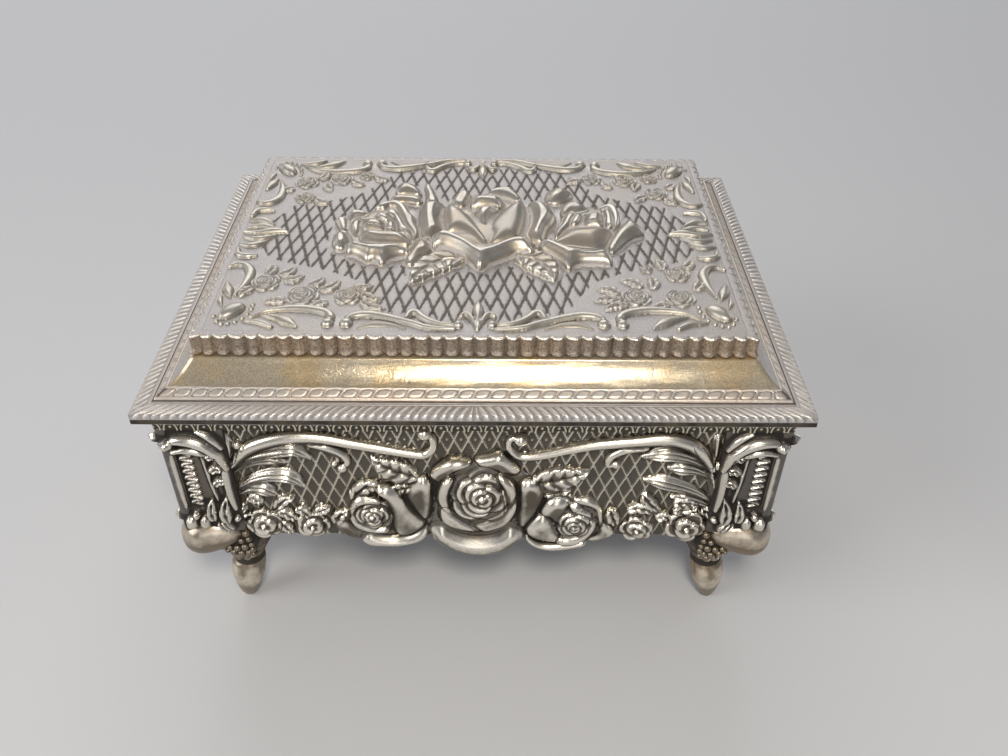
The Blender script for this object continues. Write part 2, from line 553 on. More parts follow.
# Leaves: half width, and the path from stalk to tip.
LEAF_SPRIGS = (
    (1.4, (-12.1, 37.7, -14.7, 36.9, -16.7, 37.6)), (2.3, (-10.5, 40.2, -14.4, 41.6, -18.8, 44.9)),
    (1.4, (12.4, 36, 15.1, 36.5, 17.7, 36.8)), (2.5, (10.2, 38.4, 15.2, 39.6, 20.8, 41.8)),
    (1.1, (12.8, 34.4, 15.2, 34.9, 17.8, 33.9)), (1.15, (-42.4, 35, -40.8, 34.2, -39.6, 32.8)),
    (1.2, (-47, 30.9, -44.8, 31.4, -42.6, 31.5)), (1.15, (-37.5, 31.8, -35.7, 33.9, -33.4, 34.7)),
    (1.15, (-37, 31.2, -35.1, 29.8, -33.7, 28.2)), (1.15, (-33.7, 32.1, -32.4, 31, -31.1, 29.3)),
    (1.15, (-30.1, 30.7, -28.5, 31.5, -27.2, 32.1)), (1.15, (-26.7, 27.7, -25.7, 30.2, -23.7, 31.8)),
    (1.5, (-23, 34.4, -20.1, 37.6, -16.1, 37.3)), (1.15, (-37.1, 28.2, -36, 26.2, -35.1, 24.5)),
    (1.15, (-44.8, 28.4, -43.3, 29.2, -41.8, 30.4)), (1.15, (25.1, 32.1, 25.8, 29.6, 26.8, 27.1)),
    (1.15, (28.1, 31.6, 30.7, 32.2, 33.7, 30.8)), (1.15, (30.9, 35.9, 32.4, 33.5, 34.9, 31.1)),
    (1.15, (36.6, 33.3, 38.7, 33.8, 41.4, 33.6)), (1.15, (36.8, 31.4, 39.7, 31.9, 41.9, 32.8)),
    (1.15, (42.3, 32.2, 44, 30.9, 46.1, 29.8)), (1.15, (34, 29.1, 35.5, 30, 36.7, 28.9)),
    (1.15, (45.8, 27, 47.5, 25.8, 48.8, 27)),
)
# Petals: height, tilt, hollow and outline. The first three are the low mounds under the roses.
GARLAND_PETALS = (
    (1.2, (0, 0), 0, (-8.6, 27, -8.9, 33, -8.4, 39.5, -5.5, 43.3, 0, 44.6, 5, 45, 8.6, 41.2, 11.4, 38, 11.3, 32, 9.2,
     26, 5, 22.3, 0.8, 21.3, -4, 22.3)),
    (0.9, (0, 0), 0, (-23, 27, -23, 32, -19, 34.8, -14.5, 36.6, -10, 38.3, -8.2, 33, -9.5, 27, -13, 24.5, -18, 24.6)),
    (0.9, (0, 0), 0, (9.5, 26, 9.5, 30, 11, 35.6, 15, 35.4, 19, 34.4, 22.5, 31, 23, 27, 20, 24, 15, 23, 11, 24)),
    (1.5, (0, 0.03), 0.15, (-26.9, 28.6, -24.8, 28.9, -22.9, 26.7, -20.4, 25.5, -21.6, 23.3, -24.4, 23.6, -26.4,
     25.8)),
    (1.6, (0, 0.03), 0.15, (20.7, 23, 23.1, 25, 23.5, 29, 24.6, 27.9, 26.3, 25.6, 25.6, 24.2, 23.4, 23)),
    (1.9, (0.05, 0), 0.1, (17.9, 34.2, 19.6, 35.1, 21.4, 34.8, 23, 32.9, 23.8, 30.2, 23.6, 27.4, 22.9, 29.3, 22.4,
     32.1, 20.8, 33.2, 18.7, 33.2)),
    (2.2, (0, 0.04), 0.15, (-23.6, 31.1, -23.2, 33.2, -21.9, 34.9, -19.8, 35.4, -17.7, 34.9, -17.6, 33.8, -19.6, 34.1,
     -21.5, 33.5, -22.5, 31.9, -22.9, 30.5)),
    (2.2, (0, 0), 0.1, (17.4, 33.5, 18.7, 33.8, 20.3, 32.4, 21.5, 31.1, 21, 30.2, 19, 31.3, 17.7, 32.1)),
    (2.3, (0, 0.08), 0.3, (-8.2, 41, -6.9, 43.1, -5, 44.8, -2.7, 45.1, -0.6, 44.1, -2.4, 43.1, -4.2, 41.8, -5.5, 40,
     -6.8, 38.7, -7.5, 39.5)),
    (2.3, (0, 0.08), 0.3, (-0.1, 44.8, 2.2, 45.8, 4.4, 46.4, 5.6, 45.4, 7.1, 43.4, 8, 41.4, 6.5, 41.1, 4.4, 41.9, 2.6,
     43.1, 0.8, 43.6)),
    (2.2, (0.05, 0), 0.25, (-13, 36, -11.6, 38.6, -10, 40.4, -8.6, 39.7, -8, 37.6, -8.2, 33.3, -8.9, 30.1, -9.8, 29.2,
     -11.2, 31.4, -12.4, 33.8)),
    (2.2, (-0.05, 0), 0.25, (7.9, 37.9, 8.7, 39.5, 10.6, 39.5, 12.6, 37.2, 12.4, 34.3, 11.3, 31.5, 9.9, 28.8, 8.5,
     26.5, 7.8, 29.9, 7.9, 34.2)),
    (2.3, (-0.05, 0.03), 0.15, (11.9, 31.4, 13.3, 34.6, 15.5, 35.5, 17.2, 34.4, 17.4, 32.8, 16.3, 30.3, 15.2, 27.8,
     13.8, 30)),
    (2.2, (0, -0.05), 0.1, (-23.8, 30.2, -23.1, 30.5, -21.5, 28.6, -19.4, 27.5, -17.1, 27.2, -16.4, 26.4, -18.3, 26.1,
     -21, 26.6, -23.1, 28)),
    (2.3, (0.03, -0.05), 0.1, (15.2, 24.4, 17.9, 24.7, 20.3, 26.4, 21.6, 29.2, 22.5, 29.8, 22.5, 27.3, 20.9, 24.7,
     18.4, 22.9, 15.7, 22.9)),
    (2.4, (0, -0.04), 0.1, (9.2, 26.5, 10.7, 29.3, 12.5, 30.7, 14, 29.6, 15.3, 26.5, 16, 24.2, 14.3, 23.6, 12.2, 23.9,
     10.4, 24.7)),
    (2.5, (-0.05, 0), 0.1, (-18.4, 37.3, -16.5, 38.4, -14.7, 37.3, -13.4, 35, -11.9, 31.7, -10.2, 29, -9.7, 27.9,
     -10.7, 26.5, -12.7, 25.3, -14.8, 25.3, -15.7, 27.6, -15.8, 31.7, -16.7, 34.9)),
    (1.9, (0, -0.12), 0, (-20.7, 26, -18.5, 24.9, -15.7, 24, -12.8, 24.6, -10.8, 26.1, -9.2, 27.2, -8.7, 26.1, -9.5,
     24.3, -11.3, 22.9, -14.4, 22.1, -17.6, 22, -20.6, 22.2, -22.2, 23.6)),
    (1.9, (0, -0.12), 0, (9.1, 25.6, 10.3, 23.9, 12.8, 22.6, 15.7, 22.7, 18.4, 22.9, 20.6, 23.4, 21, 22.4, 18.6, 21.8,
     16.1, 21.4, 13.2, 21.4, 10.7, 22.3, 9.2, 24)),
    (2.6, (-0.05, 0.02), 0.2, (-7.1, 35.9, -6.5, 38.8, -5, 40.9, -4.1, 40.3, -4.7, 38, -5, 34.9, -4.3, 32.2, -2.8,
     30.3, -1.7, 29.2, -3.4, 28.9, -5.3, 31.1, -6.5, 33.5)),
    (2.6, (0.05, 0.02), 0.2, (4, 40.9, 5.3, 40.9, 6.8, 39.1, 7.5, 36.8, 6.8, 33.9, 5.6, 31.9, 5.5, 35.2, 5, 38.1)),
    (2.8, (-0.04, -0.05), 0.2, (-6.7, 32.9, -5.9, 33.7, -4.3, 32.1, -2.5, 30.2, -0.8, 28.8, 1.1, 27.7, 0.7, 26.6,
     -1.6, 26.9, -3.8, 27.7, -5.7, 28.8, -6.8, 30.5)),
    (2.8, (0.04, -0.05), 0.25, (-1, 28.8, 1.6, 30.2, 4.4, 31.9, 6.5, 34.3, 7.5, 36.2, 7.6, 32.5, 6.1, 29.4, 3.9, 27.7,
     1.3, 26.9)),
    (2.5, (0, -0.08), 0, (-8.8, 27, -7.6, 28.4, -5.9, 28.5, -4.1, 27.1, -1.6, 25.9, 1.1, 25.7, 3.5, 26.5, 5.8, 28.5,
     7.3, 28.3, 8.9, 26.6, 9.1, 24.3, 6.9, 21.8, 4.6, 20.4, 0.8, 19.6, -3.4, 20.3, -6.3, 21.8, -8.5, 23.9, -9, 25.6)),
)
# Roses, hearts of the big roses, berries, and round caps of the ground: along the wall, up it, size and height.
WALL_ROSES = ((-40.2, 27.6, 3.2, 1.7), (-31, 27.2, 2.8, 1.5), (30.5, 26.3, 2.8, 1.5), (39.9, 27.2, 3.5, 1.8))
HEARTS = ((-19.4, 31, 4.2, 1.9), (1.1, 36.4, 6.6, 2.3), (18.3, 28.4, 4.4, 1.9))
HEARTS_AFTER, MOUNDS = 12, 3
OPEN_ROSE = ((5, 1, 0.2, 0.85, 0), (3, 0.6, 0.55, 1, 0.5))
BERRIES = ((-47.1, 42.9, 1.1), (-47.5, 39.8, 1.1), (-42.1, 47.6, 1), (43.8, 42.9, 1.1), (44, 39.4, 1),
           (-45.6, 51, 0.9), (44.6, 50.6, 0.9))
FRONT_DOMES = ((0.3, 31, 11, 1.6), (-19.5, 29.3, 7, 1.2), (19.5, 29, 7, 1.2), (-31.8, 26.8, 3, 0.9),
               (31.8, 26.8, 3, 0.9), (-40.4, 27, 3.4, 0.9), (40.4, 27, 3.4, 0.9))
SIDE_DOMES = ((0, 31, 9.5, 1.5), (-16.5, 28.8, 5.6, 1.1), (16.5, 28.8, 5.6, 1.1))
GARLAND_FOOT, WALL_FOOT, WALL_TOP = 19.2, 24.0, 52.7
NET_WIDE, NET_TALL, NET_START, STUDS_FROM = 2.5, 6.0, 51.9, 48.2


def swells(domes, face):
    """A ground that is flat at the height face, with the round caps of the casting showing through it. Each
    cap is part of a ball whose radius follows from its width and rise."""
    def ground(x, y):
        """The highest of the flat and the caps at each place."""
        level = np.full_like(x, face)
        for cx, cy, radius, rise in domes:
            ball = (radius ** 2 + rise ** 2) / (2 * rise)
            away = np.hypot(x - cx, y - cy)
            cap = rise - ball + face + np.sqrt(np.maximum(ball ** 2 - away ** 2, 0))
            level = np.where(away < radius, np.maximum(level, cap), level)
        return level
    return ground


def squeezed(places):
    """Moves places on the long walls to their places on the shorter side walls."""
    places = np.array(places, float)
    places[..., 0] = np.interp(places[..., 0], (-46.5, -36, -26.5, -12.5, 0.3, 12.5, 26.5, 36, 46.5),
                               (-31.5, -27.6, -21.8, -10.8, 0, 10.8, 21.8, 27.6, 31.5))
    return places


def wall_ornament(half_width, domes, fit, scale, pitch):
    """The whole relief of one wall. fit moves the places and scale sizes the roses and leaves."""
    wall = Relief(-half_width, half_width, GARLAND_FOOT, WALL_TOP - 0.1, pitch, swells(domes, 0.15))
    for height, widths, flutes, knob, points in SCROLLS:
        wall.ridge(fit(pairs(points)), np.array(widths) * scale, height, flutes=flutes, knobs=(0, knob * scale))
    for x, z, size in BERRIES:
        wall.dome(*fit((x, z)), size * scale, 1.3)
    for width, points in LEAF_SPRIGS:
        wall.leaf(fit(pairs(points)), 1.3 * width * scale, 1.3, veins=0.8 + 1.6 * width, teeth=0.18, lift=0.15)
    for k, (x, z, size, height) in enumerate(WALL_ROSES):
        if scale == 1 or abs(x) < 36:
            wall.rose(*fit((x, z)), 1.2 * size * scale, height, turn=40 * k, rings=OPEN_ROSE)
    for k, (height, tilt, hollow, outline) in enumerate(GARLAND_PETALS):
        if k == HEARTS_AFTER:
            for n, (x, z, size, tall) in enumerate(HEARTS):
                wall.rose(*fit((x, z)), size * scale, tall, turn=25 * n)
        wall.petal(fit(pairs(outline)), height, (2.5 * tilt[0], 2.5 * tilt[1]), 2.2 * hollow - 0.55,
                   edge=1.8 if hollow else 2.8, grow=0.25, over=0.45 if k < MOUNDS else 0.03)
    return wall


def diamond_lines(x, y, wide, tall, half_width):
    """One on the lines of a lattice whose diamonds are wide by tall, fading to zero half_width away."""
    lines = np.zeros_like(x)
    for lean in (1, -1):
        phase = x / wide + lean * y / tall
        away = np.abs(phase - np.round(phase)) / math.hypot(1 / wide, 1 / tall)
        lines = np.maximum(lines, np.clip(1 - away / half_width, 0, 1))
    return lines


def wall_lattice(half_width, domes, pitch):
    """The raised netting: bars on the lines of long diamonds, and a small stud in the middle of each
    diamond of the top rows."""
    wall = Relief(-half_width, half_width, WALL_FOOT, WALL_TOP, pitch, swells(domes, 0.15))
    bars = smooth_step(diamond_lines(wall.x, wall.y - NET_START, NET_WIDE, NET_TALL, 0.36), 0.0, 0.8)
    across, up = 2 * wall.x / NET_WIDE, 2 * (wall.y - NET_START) / NET_TALL
    odd = np.abs(np.round(across) % 2 + np.round(up) % 2 - 1) < 0.5
    away = np.hypot((across - np.round(across)) * 1.45, (up - np.round(up)) * 2.75)
    studs = np.clip(1 - (away / 0.42) ** 2, 0, 1) * odd * (wall.y > STUDS_FROM)
    wall.h += np.maximum(0.34 * bars, 0.3 * np.sqrt(studs))
    return wall, np.maximum(1.5 * bars, 1.6 * studs) - 0.7


def wall_sheet(relief, turns, reach, out):
    """A relief's places on one wall: along it to the right seen from outside, out from its face, and up."""
    return quarter_turned(placed(relief.x, -(reach + out), relief.y), turns)


lattice_metal = plated_metal("lattice_plating", (0.105, 0.096, 0.081), (0.22, 0.20, 0.17), (0.26, 0.21, 0.15),
                             (0.70, 0.65, 0.56), recess_edge=-0.25, high_edge=0.35, roughness=0.5)
garland_metal = plated_metal("garland_plating", (0.032, 0.028, 0.023), (0.235, 0.217, 0.188), (0.135, 0.112, 0.085),
                             (0.84, 0.79, 0.70), recess_edge=-0.3, high_edge=0.28, warm_share=0.75,
                             roughness=0.34, shine=0.27)
# How far out a wall's face is, half the length of its ornament and of its netting, its caps, how places are
# fitted to it, and the scale of roses and leaves.
LONG_WALL = 39.2, 46.4, 46.0, FRONT_DOMES, np.array, 1.0
SIDE_WALL = 53.1, 31.4, 31.5, SIDE_DOMES, squeezed, 0.86
for turns, (face, wall, pitch) in enumerate((("front", LONG_WALL, 0.185), ("right", SIDE_WALL, 0.22),
                                             ("back", LONG_WALL, 0.25), ("left", SIDE_WALL, 0.22))):
    reach, half_ornament, half_netting, domes, fit, scale = wall
    ornament = wall_ornament(half_ornament, domes, fit, scale, pitch)
    netting, netting_shade = wall_lattice(half_netting, domes, 1.45 * pitch)
    over = np.maximum(netting.h, ornament.at(netting.x, netting.y))
    beside = softened(over, netting.cells(0.7)) - netting.ground
    netting_shade = netting_shade - np.clip((beside - 0.2) / 0.8, 0, 0.7)
    make_piece(face + "_wall_lattice", "box",
               slab(wall_sheet(netting, turns, reach, netting.h), wall_sheet(netting, turns, reach, -0.5),
                    netting_shade), lattice_metal)
    shade = 0.65 * ornament.shade(broad_share=0, upper=0.8) + 0.45 * ornament.shade(
        fine=1.2, fine_step=0.5, broad=3.0, broad_step=1.0, broad_share=0.25)
    below = ornament.y < WALL_FOOT
    top = np.where(ornament.on, ornament.h, np.where(below, -1.85, ornament.ground - 0.25))
    back = np.where(ornament.y < WALL_FOOT + 0.1, -2.0, -0.5)
    make_piece(face + "_wall_garland", "box",
               slab(wall_sheet(ornament, turns, reach, top), wall_sheet(ornament, turns, reach, back),
                    np.clip(shade, -1, 1), ornament.islands(), block=2), garland_metal)


# ---- Corner posts ---------------------------------------------------------
# A square post wraps each corner. Each of its two faces has a scroll over a dark
# sunken panel, a ladder of short wavy bars in the panel, and buds at its foot.

CORNERS = {"front_left": (-1, -1), "front_right": (1, -1), "back_right": (1, 1), "back_left": (-1, 1)}
POST_REACH, POST_FOOT, POST_TOP = 10.9, 26.6, 52.7
POST_X, POST_Y, POST_ROUNDING = 54.7, 40.8, 0.6


def corner_points(sx, sy, along, out, height, half_x, half_y, rounding):
    """Places wrapped round one upright corner: along is the distance from the corner's edge (below zero on the
    long side), out is measured off its two faces, and the edge is rounded to a quarter circle."""
    bend = rounding * math.pi / 4
    turn = np.clip((along + bend) / (2 * bend), 0, 1) * math.pi / 2
    run = np.sign(along) * np.maximum(np.abs(along) - bend, 0)
    x = half_x - rounding + (rounding + out) * np.sin(turn) + np.minimum(run, 0)
    y = half_y - rounding + (rounding + out) * np.cos(turn) - np.maximum(run, 0)
    return placed(sx * x, sy * y, height)


def facing(sx, sy, grid):
    """Reverses a grid's columns at the two corners where its faces would otherwise be inside out."""
    return grid[:, ::-1] if sx * sy > 0 else grid


post = Relief(-POST_REACH, POST_REACH, POST_FOOT, POST_TOP, 0.165, swells((), 0.3))
from_edge = np.abs(post.x)
sunken = (smooth_step(from_edge, 1.1, 1.7) * smooth_step(-from_edge, -9.4, -8.8)
          * smooth_step(post.y, 32.2, 33.4) * smooth_step(-post.y, -47.4, -46.2))
post.h += 0.32 * (1 - smooth_step(from_edge, 0.9, 1.5)) - 0.75 * sunken
post.ground = post.h.copy()
for side in (-1, 1):
    def scroll(points, widths, height, knobs=(0, 0)):
        """A bar on the face at this side of the corner."""
        post.ridge(pairs(points) * (side, 1), widths, height, knobs=knobs)

    def leaf(points, width, height, teeth, lift):
        """A leaf on the face at this side of the corner."""
        post.leaf(pairs(points) * (side, 1), width, height, veins=2, teeth=teeth, lift=lift)

    # in the sunken panel: a wavy wire, a thin bar, an outer bar and three slanting leaves
    scroll([(3.1 + 1.05 * math.sin(k * math.pi / 3), 46.2 - 0.262 * k) for k in range(50)], (0.24, 0.24), 0.6)
    scroll((6.0, 46.4, 6.3, 42.0, 6.6, 37.6, 7.0, 34.4), (0.3, 0.4, 0.4, 0.3), 0.7)
    scroll((10.1, 46.0, 9.7, 41.0, 9.7, 36.6, 10.1, 33.0), (0.5, 0.95, 0.85, 0.5), 1.0)
    for x0, z0, x1, z1, size in ((9.6, 46.6, 6.4, 45.6, 1.0), (9.4, 43.6, 6.7, 42.2, 1.05),
                                 (9.3, 40.4, 6.9, 38.8, 0.95)):
        leaf((x0, z0, (x0 + x1) / 2, (z0 + z1) / 2 + 0.3, x1, z1), size, 1.5, 0.12, 0.3)
    # the scroll over the panel
    scroll((1.6, 47.4, 3.4, 48.0, 5.6, 47.7, 7.4, 46.4, 8.8, 44.6), (0.5, 0.8, 0.85, 0.75, 0.4), 1.3)
    scroll((1.2, 49.6, 2.8, 50.5, 5.4, 50.3, 7.8, 49.0, 9.4, 46.8, 10.4, 43.6), (0.7, 1.1, 1.3, 1.25, 0.95, 0.5),
           1.9, knobs=(1.1, 0))
    scroll((6.6, 52.2, 8.4, 51.0, 10.2, 48.4), (0.4, 0.8, 0.5), 1.1)
    # leaves, buds and drops at the foot
    leaf((8.4, 29.6, 8.0, 32.4, 8.7, 35.4), 1.25, 1.3, 0.1, 0.2)
    leaf((5.9, 30.2, 5.5, 32.6, 5.9, 34.8), 1.1, 1.3, 0.1, 0.2)
    for x, z, size, tall in ((1.5, 29.5, 1.15, 1.5), (3.9, 29.6, 1.1, 1.6), (2.7, 31.6, 0.7, 1.5)):
        post.dome(side * x, z, size, 1.7, squash=tall, groove=0.5)
    for k in range(3):
        scroll((7.4 + 0.75 * k, 27.3 + 0.3 * k, 6.2 + 0.8 * k, 28.9 + 0.4 * k), (0.3, 0.38, 0.25), 1.3)
    post.dome(side * 10.0, 30.4, 0.7, 1.1)
post_metal = plated_metal("corner_post_plating", (0.035, 0.031, 0.028), (0.165, 0.152, 0.14), (0.20, 0.165, 0.13),
                          (0.76, 0.72, 0.65), recess_edge=-0.2, high_edge=0.5, roughness=0.4, shine=0.25)
post_shade = post.shade(upper=0.35) + 0.3 * sunken * ~post.on
for corner, (sx, sy) in CORNERS.items():
    sheets = [facing(sx, sy, corner_points(sx, sy, post.x, out, post.y, POST_X, POST_Y, POST_ROUNDING))
              for out in (post.h, -0.6)]
    make_piece("corner_post_" + corner, "box", slab(*sheets, facing(sx, sy, post_shade)), post_metal)


# ---- Corner lobes ---------------------------------------------------------
# A smooth bean-shaped swell wraps each corner under the post, rubbed to a warm
# champagne shine. Its ends sink between small beads into a blackened block.

LOBE_X, LOBE_Y, LOBE_ROUNDING = 55.0, 41.1, 2.8
# Beads: distance from the corner's edge, out, up and size.
LOBE_BEADS = ((10.5, 0.1, 25.9, 0.72), (9.4, 0.3, 24, 0.62), (10.7, 0, 24.1, 0.6), (11, 0, 22.6, 0.6),
              (6.9, 0.3, 22.1, 0.6), (8.3, 0.3, 22, 0.75), (9.8, 0.3, 22.3, 0.8), (11, 0, 21.2, 0.7),
              (7.4, 0.2, 20.7, 0.75), (8.9, 0.3, 20.5, 0.85), (10.3, 0.2, 20.6, 0.75), (6.2, 0.1, 20.9, 0.5),
              (8.1, 0, 19.3, 0.8), (9.6, 0, 19.2, 0.75), (10.9, -0.2, 19.6, 0.6))


def tube(points, relief=0.0, closed=False):
    """A grid of points (along, round) closed round its second direction. Unless it is also closed along,
    each end is drawn together to its middle point."""
    if not closed:
        ends = [np.repeat(points[k].mean(0)[None, None], points.shape[1], 1) for k in (0, -1)]
        points = np.concatenate([ends[0], points, ends[1]])
        if np.ndim(relief):
            relief = np.concatenate([relief[:1], relief, relief[-1:]])
    index = np.arange(points[..., 0].size).reshape(points.shape[:2])
    index = np.concatenate([index, index[:, :1]], 1)
    if closed:
        index = np.concatenate([index, index[:1]])
    values = relief.ravel() if np.ndim(relief) else relief
    return points.reshape(-1, 3), [corners(index)[..., [0, 3, 2, 1]].reshape(-1, 4)], values


def boxed(bearing, power):
    """The two parts of a round section that is squarer the smaller power is."""
    return [np.sign(part) * np.abs(part) ** power for part in (np.cos(bearing), np.sin(bearing))]


def ball(u, v, up, size):
    """A small ball as a grid: its places along two flat directions and up."""
    lean = np.linspace(-math.pi / 2, math.pi / 2, 13)[1:-1, None]
    turn = np.linspace(0, 2 * math.pi, 16, endpoint=False)
    ring = size * np.cos(lean)
    return u + ring * np.cos(turn), v + ring * np.sin(turn), up + size * np.sin(lean) + 0 * turn


def lobe_parts():
    """The lobe, then a block and its beads for each end. Each is a grid of places along the corner, out from it
    and up, and of shades. The lobe is a round section that swells in the middle and narrows to its ends."""
    bearing = np.linspace(0, 2 * math.pi, 40, endpoint=False)
    face, crown = boxed(bearing, 2 / 2.3)
    along = np.linspace(-10.2, 10.2, 97)[:, None]
    thick = np.clip(1 - (np.abs(along) / 10.25) ** 6, 0, 1) ** 0.5
    slim = 1 - 0.38 * smooth_step(np.abs(along), 2.5, 10.5)
    swell = np.exp(-(along / 5.0) ** 2)
    shade = (0.3 + 0.5 * face * np.ones_like(along) + 0.2 * crown - 1.0 * smooth_step(-crown, -0.15, 0.8)
             - 0.3 * smooth_step(np.abs(along), 8.0, 10.2))
    parts = [(along + 0 * shade, -2.6 + (3.7 + 1.0 * swell) * face * thick,
              23.7 + 0.14 * np.abs(along) + 4.3 * crown * thick * slim, shade)]
    block = np.concatenate([np.linspace(3.5, 11.12, 12), [11.14, 11.14]])[:, None]
    size = np.concatenate([np.ones(13), [0.5]])[:, None]
    for side in (-1, 1):
        parts.append((side * block + 0 * face, -3.3 + 3.38 * face * size, 23.25 + 4.33 * crown * size,
                      np.full((block.size, face.size), -0.85)))
        for place, out, up, bead in LOBE_BEADS:
            grid = ball(side * place, out, up, bead)
            parts.append((*grid, 0.7 * (grid[1] - out) / bead))
    return parts


lobe_metal = plated_metal("lobe_plating", (0.045, 0.038, 0.032), (0.235, 0.198, 0.155), (0.29, 0.215, 0.145),
                          (0.72, 0.64, 0.53), recess_edge=-0.3, high_edge=0.72, warm_share=0.7, roughness=0.34,
                          shine=0.27, metallic=0.85)
for corner, (sx, sy) in CORNERS.items():
    tubes = []
    for along, out, up, shade in lobe_parts():
        ring = corner_points(sx, sy, along, out, up, LOBE_X, LOBE_Y, LOBE_ROUNDING)
        tubes.append(tube(facing(sx, sy, ring), facing(sx, sy, shade)))
    make_piece("corner_lobe_" + corner, "box", joined(tubes), lobe_metal)


# ---- Feet -----------------------------------------------------------------
# Four small cast feet under the corners, each screwed on from inside: a dark
# leg that widens upward, a cluster of beads on its outside, and a rubbed bulb
# with soft toes, pointed where it stands.

FOOT_X, FOOT_Y, HEAD_X, HEAD_Y = 48.5, 34.6, 50.55, 36.65
# Outer reach, inner reach and half width at each of the heights.
FOOT_HEIGHTS = (0, 0.4, 1.5, 3, 5, 7, 9, 10.4, 11.2, 11.8, 12.3, 14, 16, 18, 21, 23, 23.04, 24)
FOOT_REACHES = (
    (0.7, 1.3, 1.8, 2.2, 2.5, 2.6, 2.5, 1.9, 0.9, 0.4, 0.3, 0.5, 0.9, 1.2, 1.3, 1.2, 1.2, 1.2),
    (-0.7, -1.2, -1.8, -2.5, -3.3, -4, -4.5, -4.8, -4.8, -4.9, -5.1, -5.8, -6.7, -7.6, -8.6, -8.6, -9.5, -9.5),
    (0.7, 1.2, 1.8, 2.4, 3.1, 3.6, 3.8, 3.5, 3.1, 3, 3, 3.6, 4.4, 5, 5.1, 5, 5, 5))
# Rows of beads: height, distance out, size, and bearings in degrees.
FOOT_BEADS = ((13.3, 3.3, 0.95, (-54, -20, 12, 43)), (14.6, 3.9, 1.1, (-66, -36, -4, 29, 62)),
              (16.1, 4.2, 1.05, (-52, -20, 14, 47)), (17.5, 4.4, 1, (-62, -33, 0, 33, 62)))


def foot_shape(sx, sy):
    """The leg and bulb as a stack of rounded sections whose outer and inner reach, and width, follow curves
    of the height; the toes are a ripple round the bulb. Then the beads, each a small ball set on the leg."""
    up = np.concatenate([np.linspace(0, 13, 72), np.linspace(13.3, 23.0, 34), [23.05, 24.0]])[:, None]
    bearing = np.linspace(0, 2 * math.pi, 60, endpoint=False)
    outer, inner, width = (softened(np.interp(up, FOOT_HEIGHTS, line), 1) for line in FOOT_REACHES)
    toes = 0.18 * smooth_step(up, 6.4, 9.2) * smooth_step(-up, -11.0, -10.2)
    ripple = 1 - toes * (1 - np.abs(np.cos(2.5 * bearing)) ** 0.5)
    cos, sin = boxed(bearing, 1 / (1 + 0.25 * smooth_step(up, 12, 18)))
    u = (outer + inner) / 2 + (outer - inner) / 2 * cos * ripple
    shade = (0.55 - 2.6 * (1 - ripple) - 0.7 * np.exp(-((up - 11.2) / 0.7) ** 2)
             - 0.85 * smooth_step(up, 10.5, 11.5) - 0.35 * smooth_step(-cos, 0.2, 0.9)
             - 0.75 * smooth_step(-up, -6.0, -0.5))
    parts = [(u, width * sin * ripple, up + 0 * u, shade)]
    for height, reach, size, spread in FOOT_BEADS:
        for k, angle in enumerate(spread):
            out, aside = -2.6 + reach * math.cos(math.radians(angle)), 1.08 * reach * math.sin(math.radians(angle))
            bead = size * (1 + 0.12 * math.sin(7 * k + height))
            grid = ball(out, aside, height + 0.3 * math.sin(5 * k), bead)
            parts.append((*grid, 0.75 * (grid[0] - out) / size))
    shapes = []
    for u, v, up, shade in parts:
        x, y = FOOT_X + (u - v) / math.sqrt(2), FOOT_Y + (u + v) / math.sqrt(2)
        head = smooth_step(up, 18.0, 18.6)
        x, y = x + head * np.minimum(HEAD_X - x, 0), y + head * np.minimum(HEAD_Y - y, 0)
        shapes.append(tube(facing(sx, sy, placed(sx * x, sy * y, up)), facing(sx, sy, shade)))
    return joined(shapes)


foot_metal = plated_metal("foot_plating", (0.06, 0.05, 0.04), (0.30, 0.255, 0.198), (0.37, 0.28, 0.19),
                          (0.84, 0.76, 0.63), recess_edge=-0.2, high_edge=0.42, warm_share=0.7, roughness=0.36,
                          shine=0.28, metallic=0.8)
for corner, (sx, sy) in CORNERS.items():
    foot = make_piece("cast_foot_" + corner, "box", foot_shape(sx, sy), foot_metal)
    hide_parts("foot_" + corner)


# ---- Base plate -----------------------------------------------------------
# A plain rolled steel sheet closes the box underneath. It is clamped between
# the feet and the lugs inside the box.

def rolled_steel(name, colour, run, roughness):
    """Bare steel with fine drawn lines. run stretches the lines: a small number along the direction they run."""
    material, bench, shader = new_finish(name)
    place = bench.place()
    lines = bench.noise(bench.scaled(place, run), 2600.0, 4.0, 0.7)
    stain = bench.math("MULTIPLY_ADD", bench.noise(place, 60.0, 4.0, 0.6), 0.6, 0.15)
    dark = tuple(0.55 * part for part in colour)
    bench.feed(shader, {"Base Color": bench.mix(bench.ramp(stain, 0.25, 0.75), dark, colour), "Metallic": 1.0,
                        "Roughness": bench.ramp(lines, 0.2, 0.8, roughness - 0.12, roughness + 0.12),
                        "Normal": bench.bump(bench.math("MULTIPLY", lines, 0.012))})
    return material


dress("base_plate", rolled_steel("base_plate_steel", (0.42, 0.41, 0.39), (0.03, 1.0, 1.0), 0.42))


# ---- Foot screws ----------------------------------------------------------
# Four turned steel screws hold the feet. They are pushed down through the lugs
# and the base plate.

dress("foot_screws", rolled_steel("screw_steel", (0.56, 0.55, 0.53), (1.0, 1.0, 0.05), 0.32))


# ---- Floor board ----------------------------------------------------------
# A dark lining card rests on the ledge inside and carries the velvet floor pad.
# It is pressed from pulp, so it shows fine fibres and flecks.

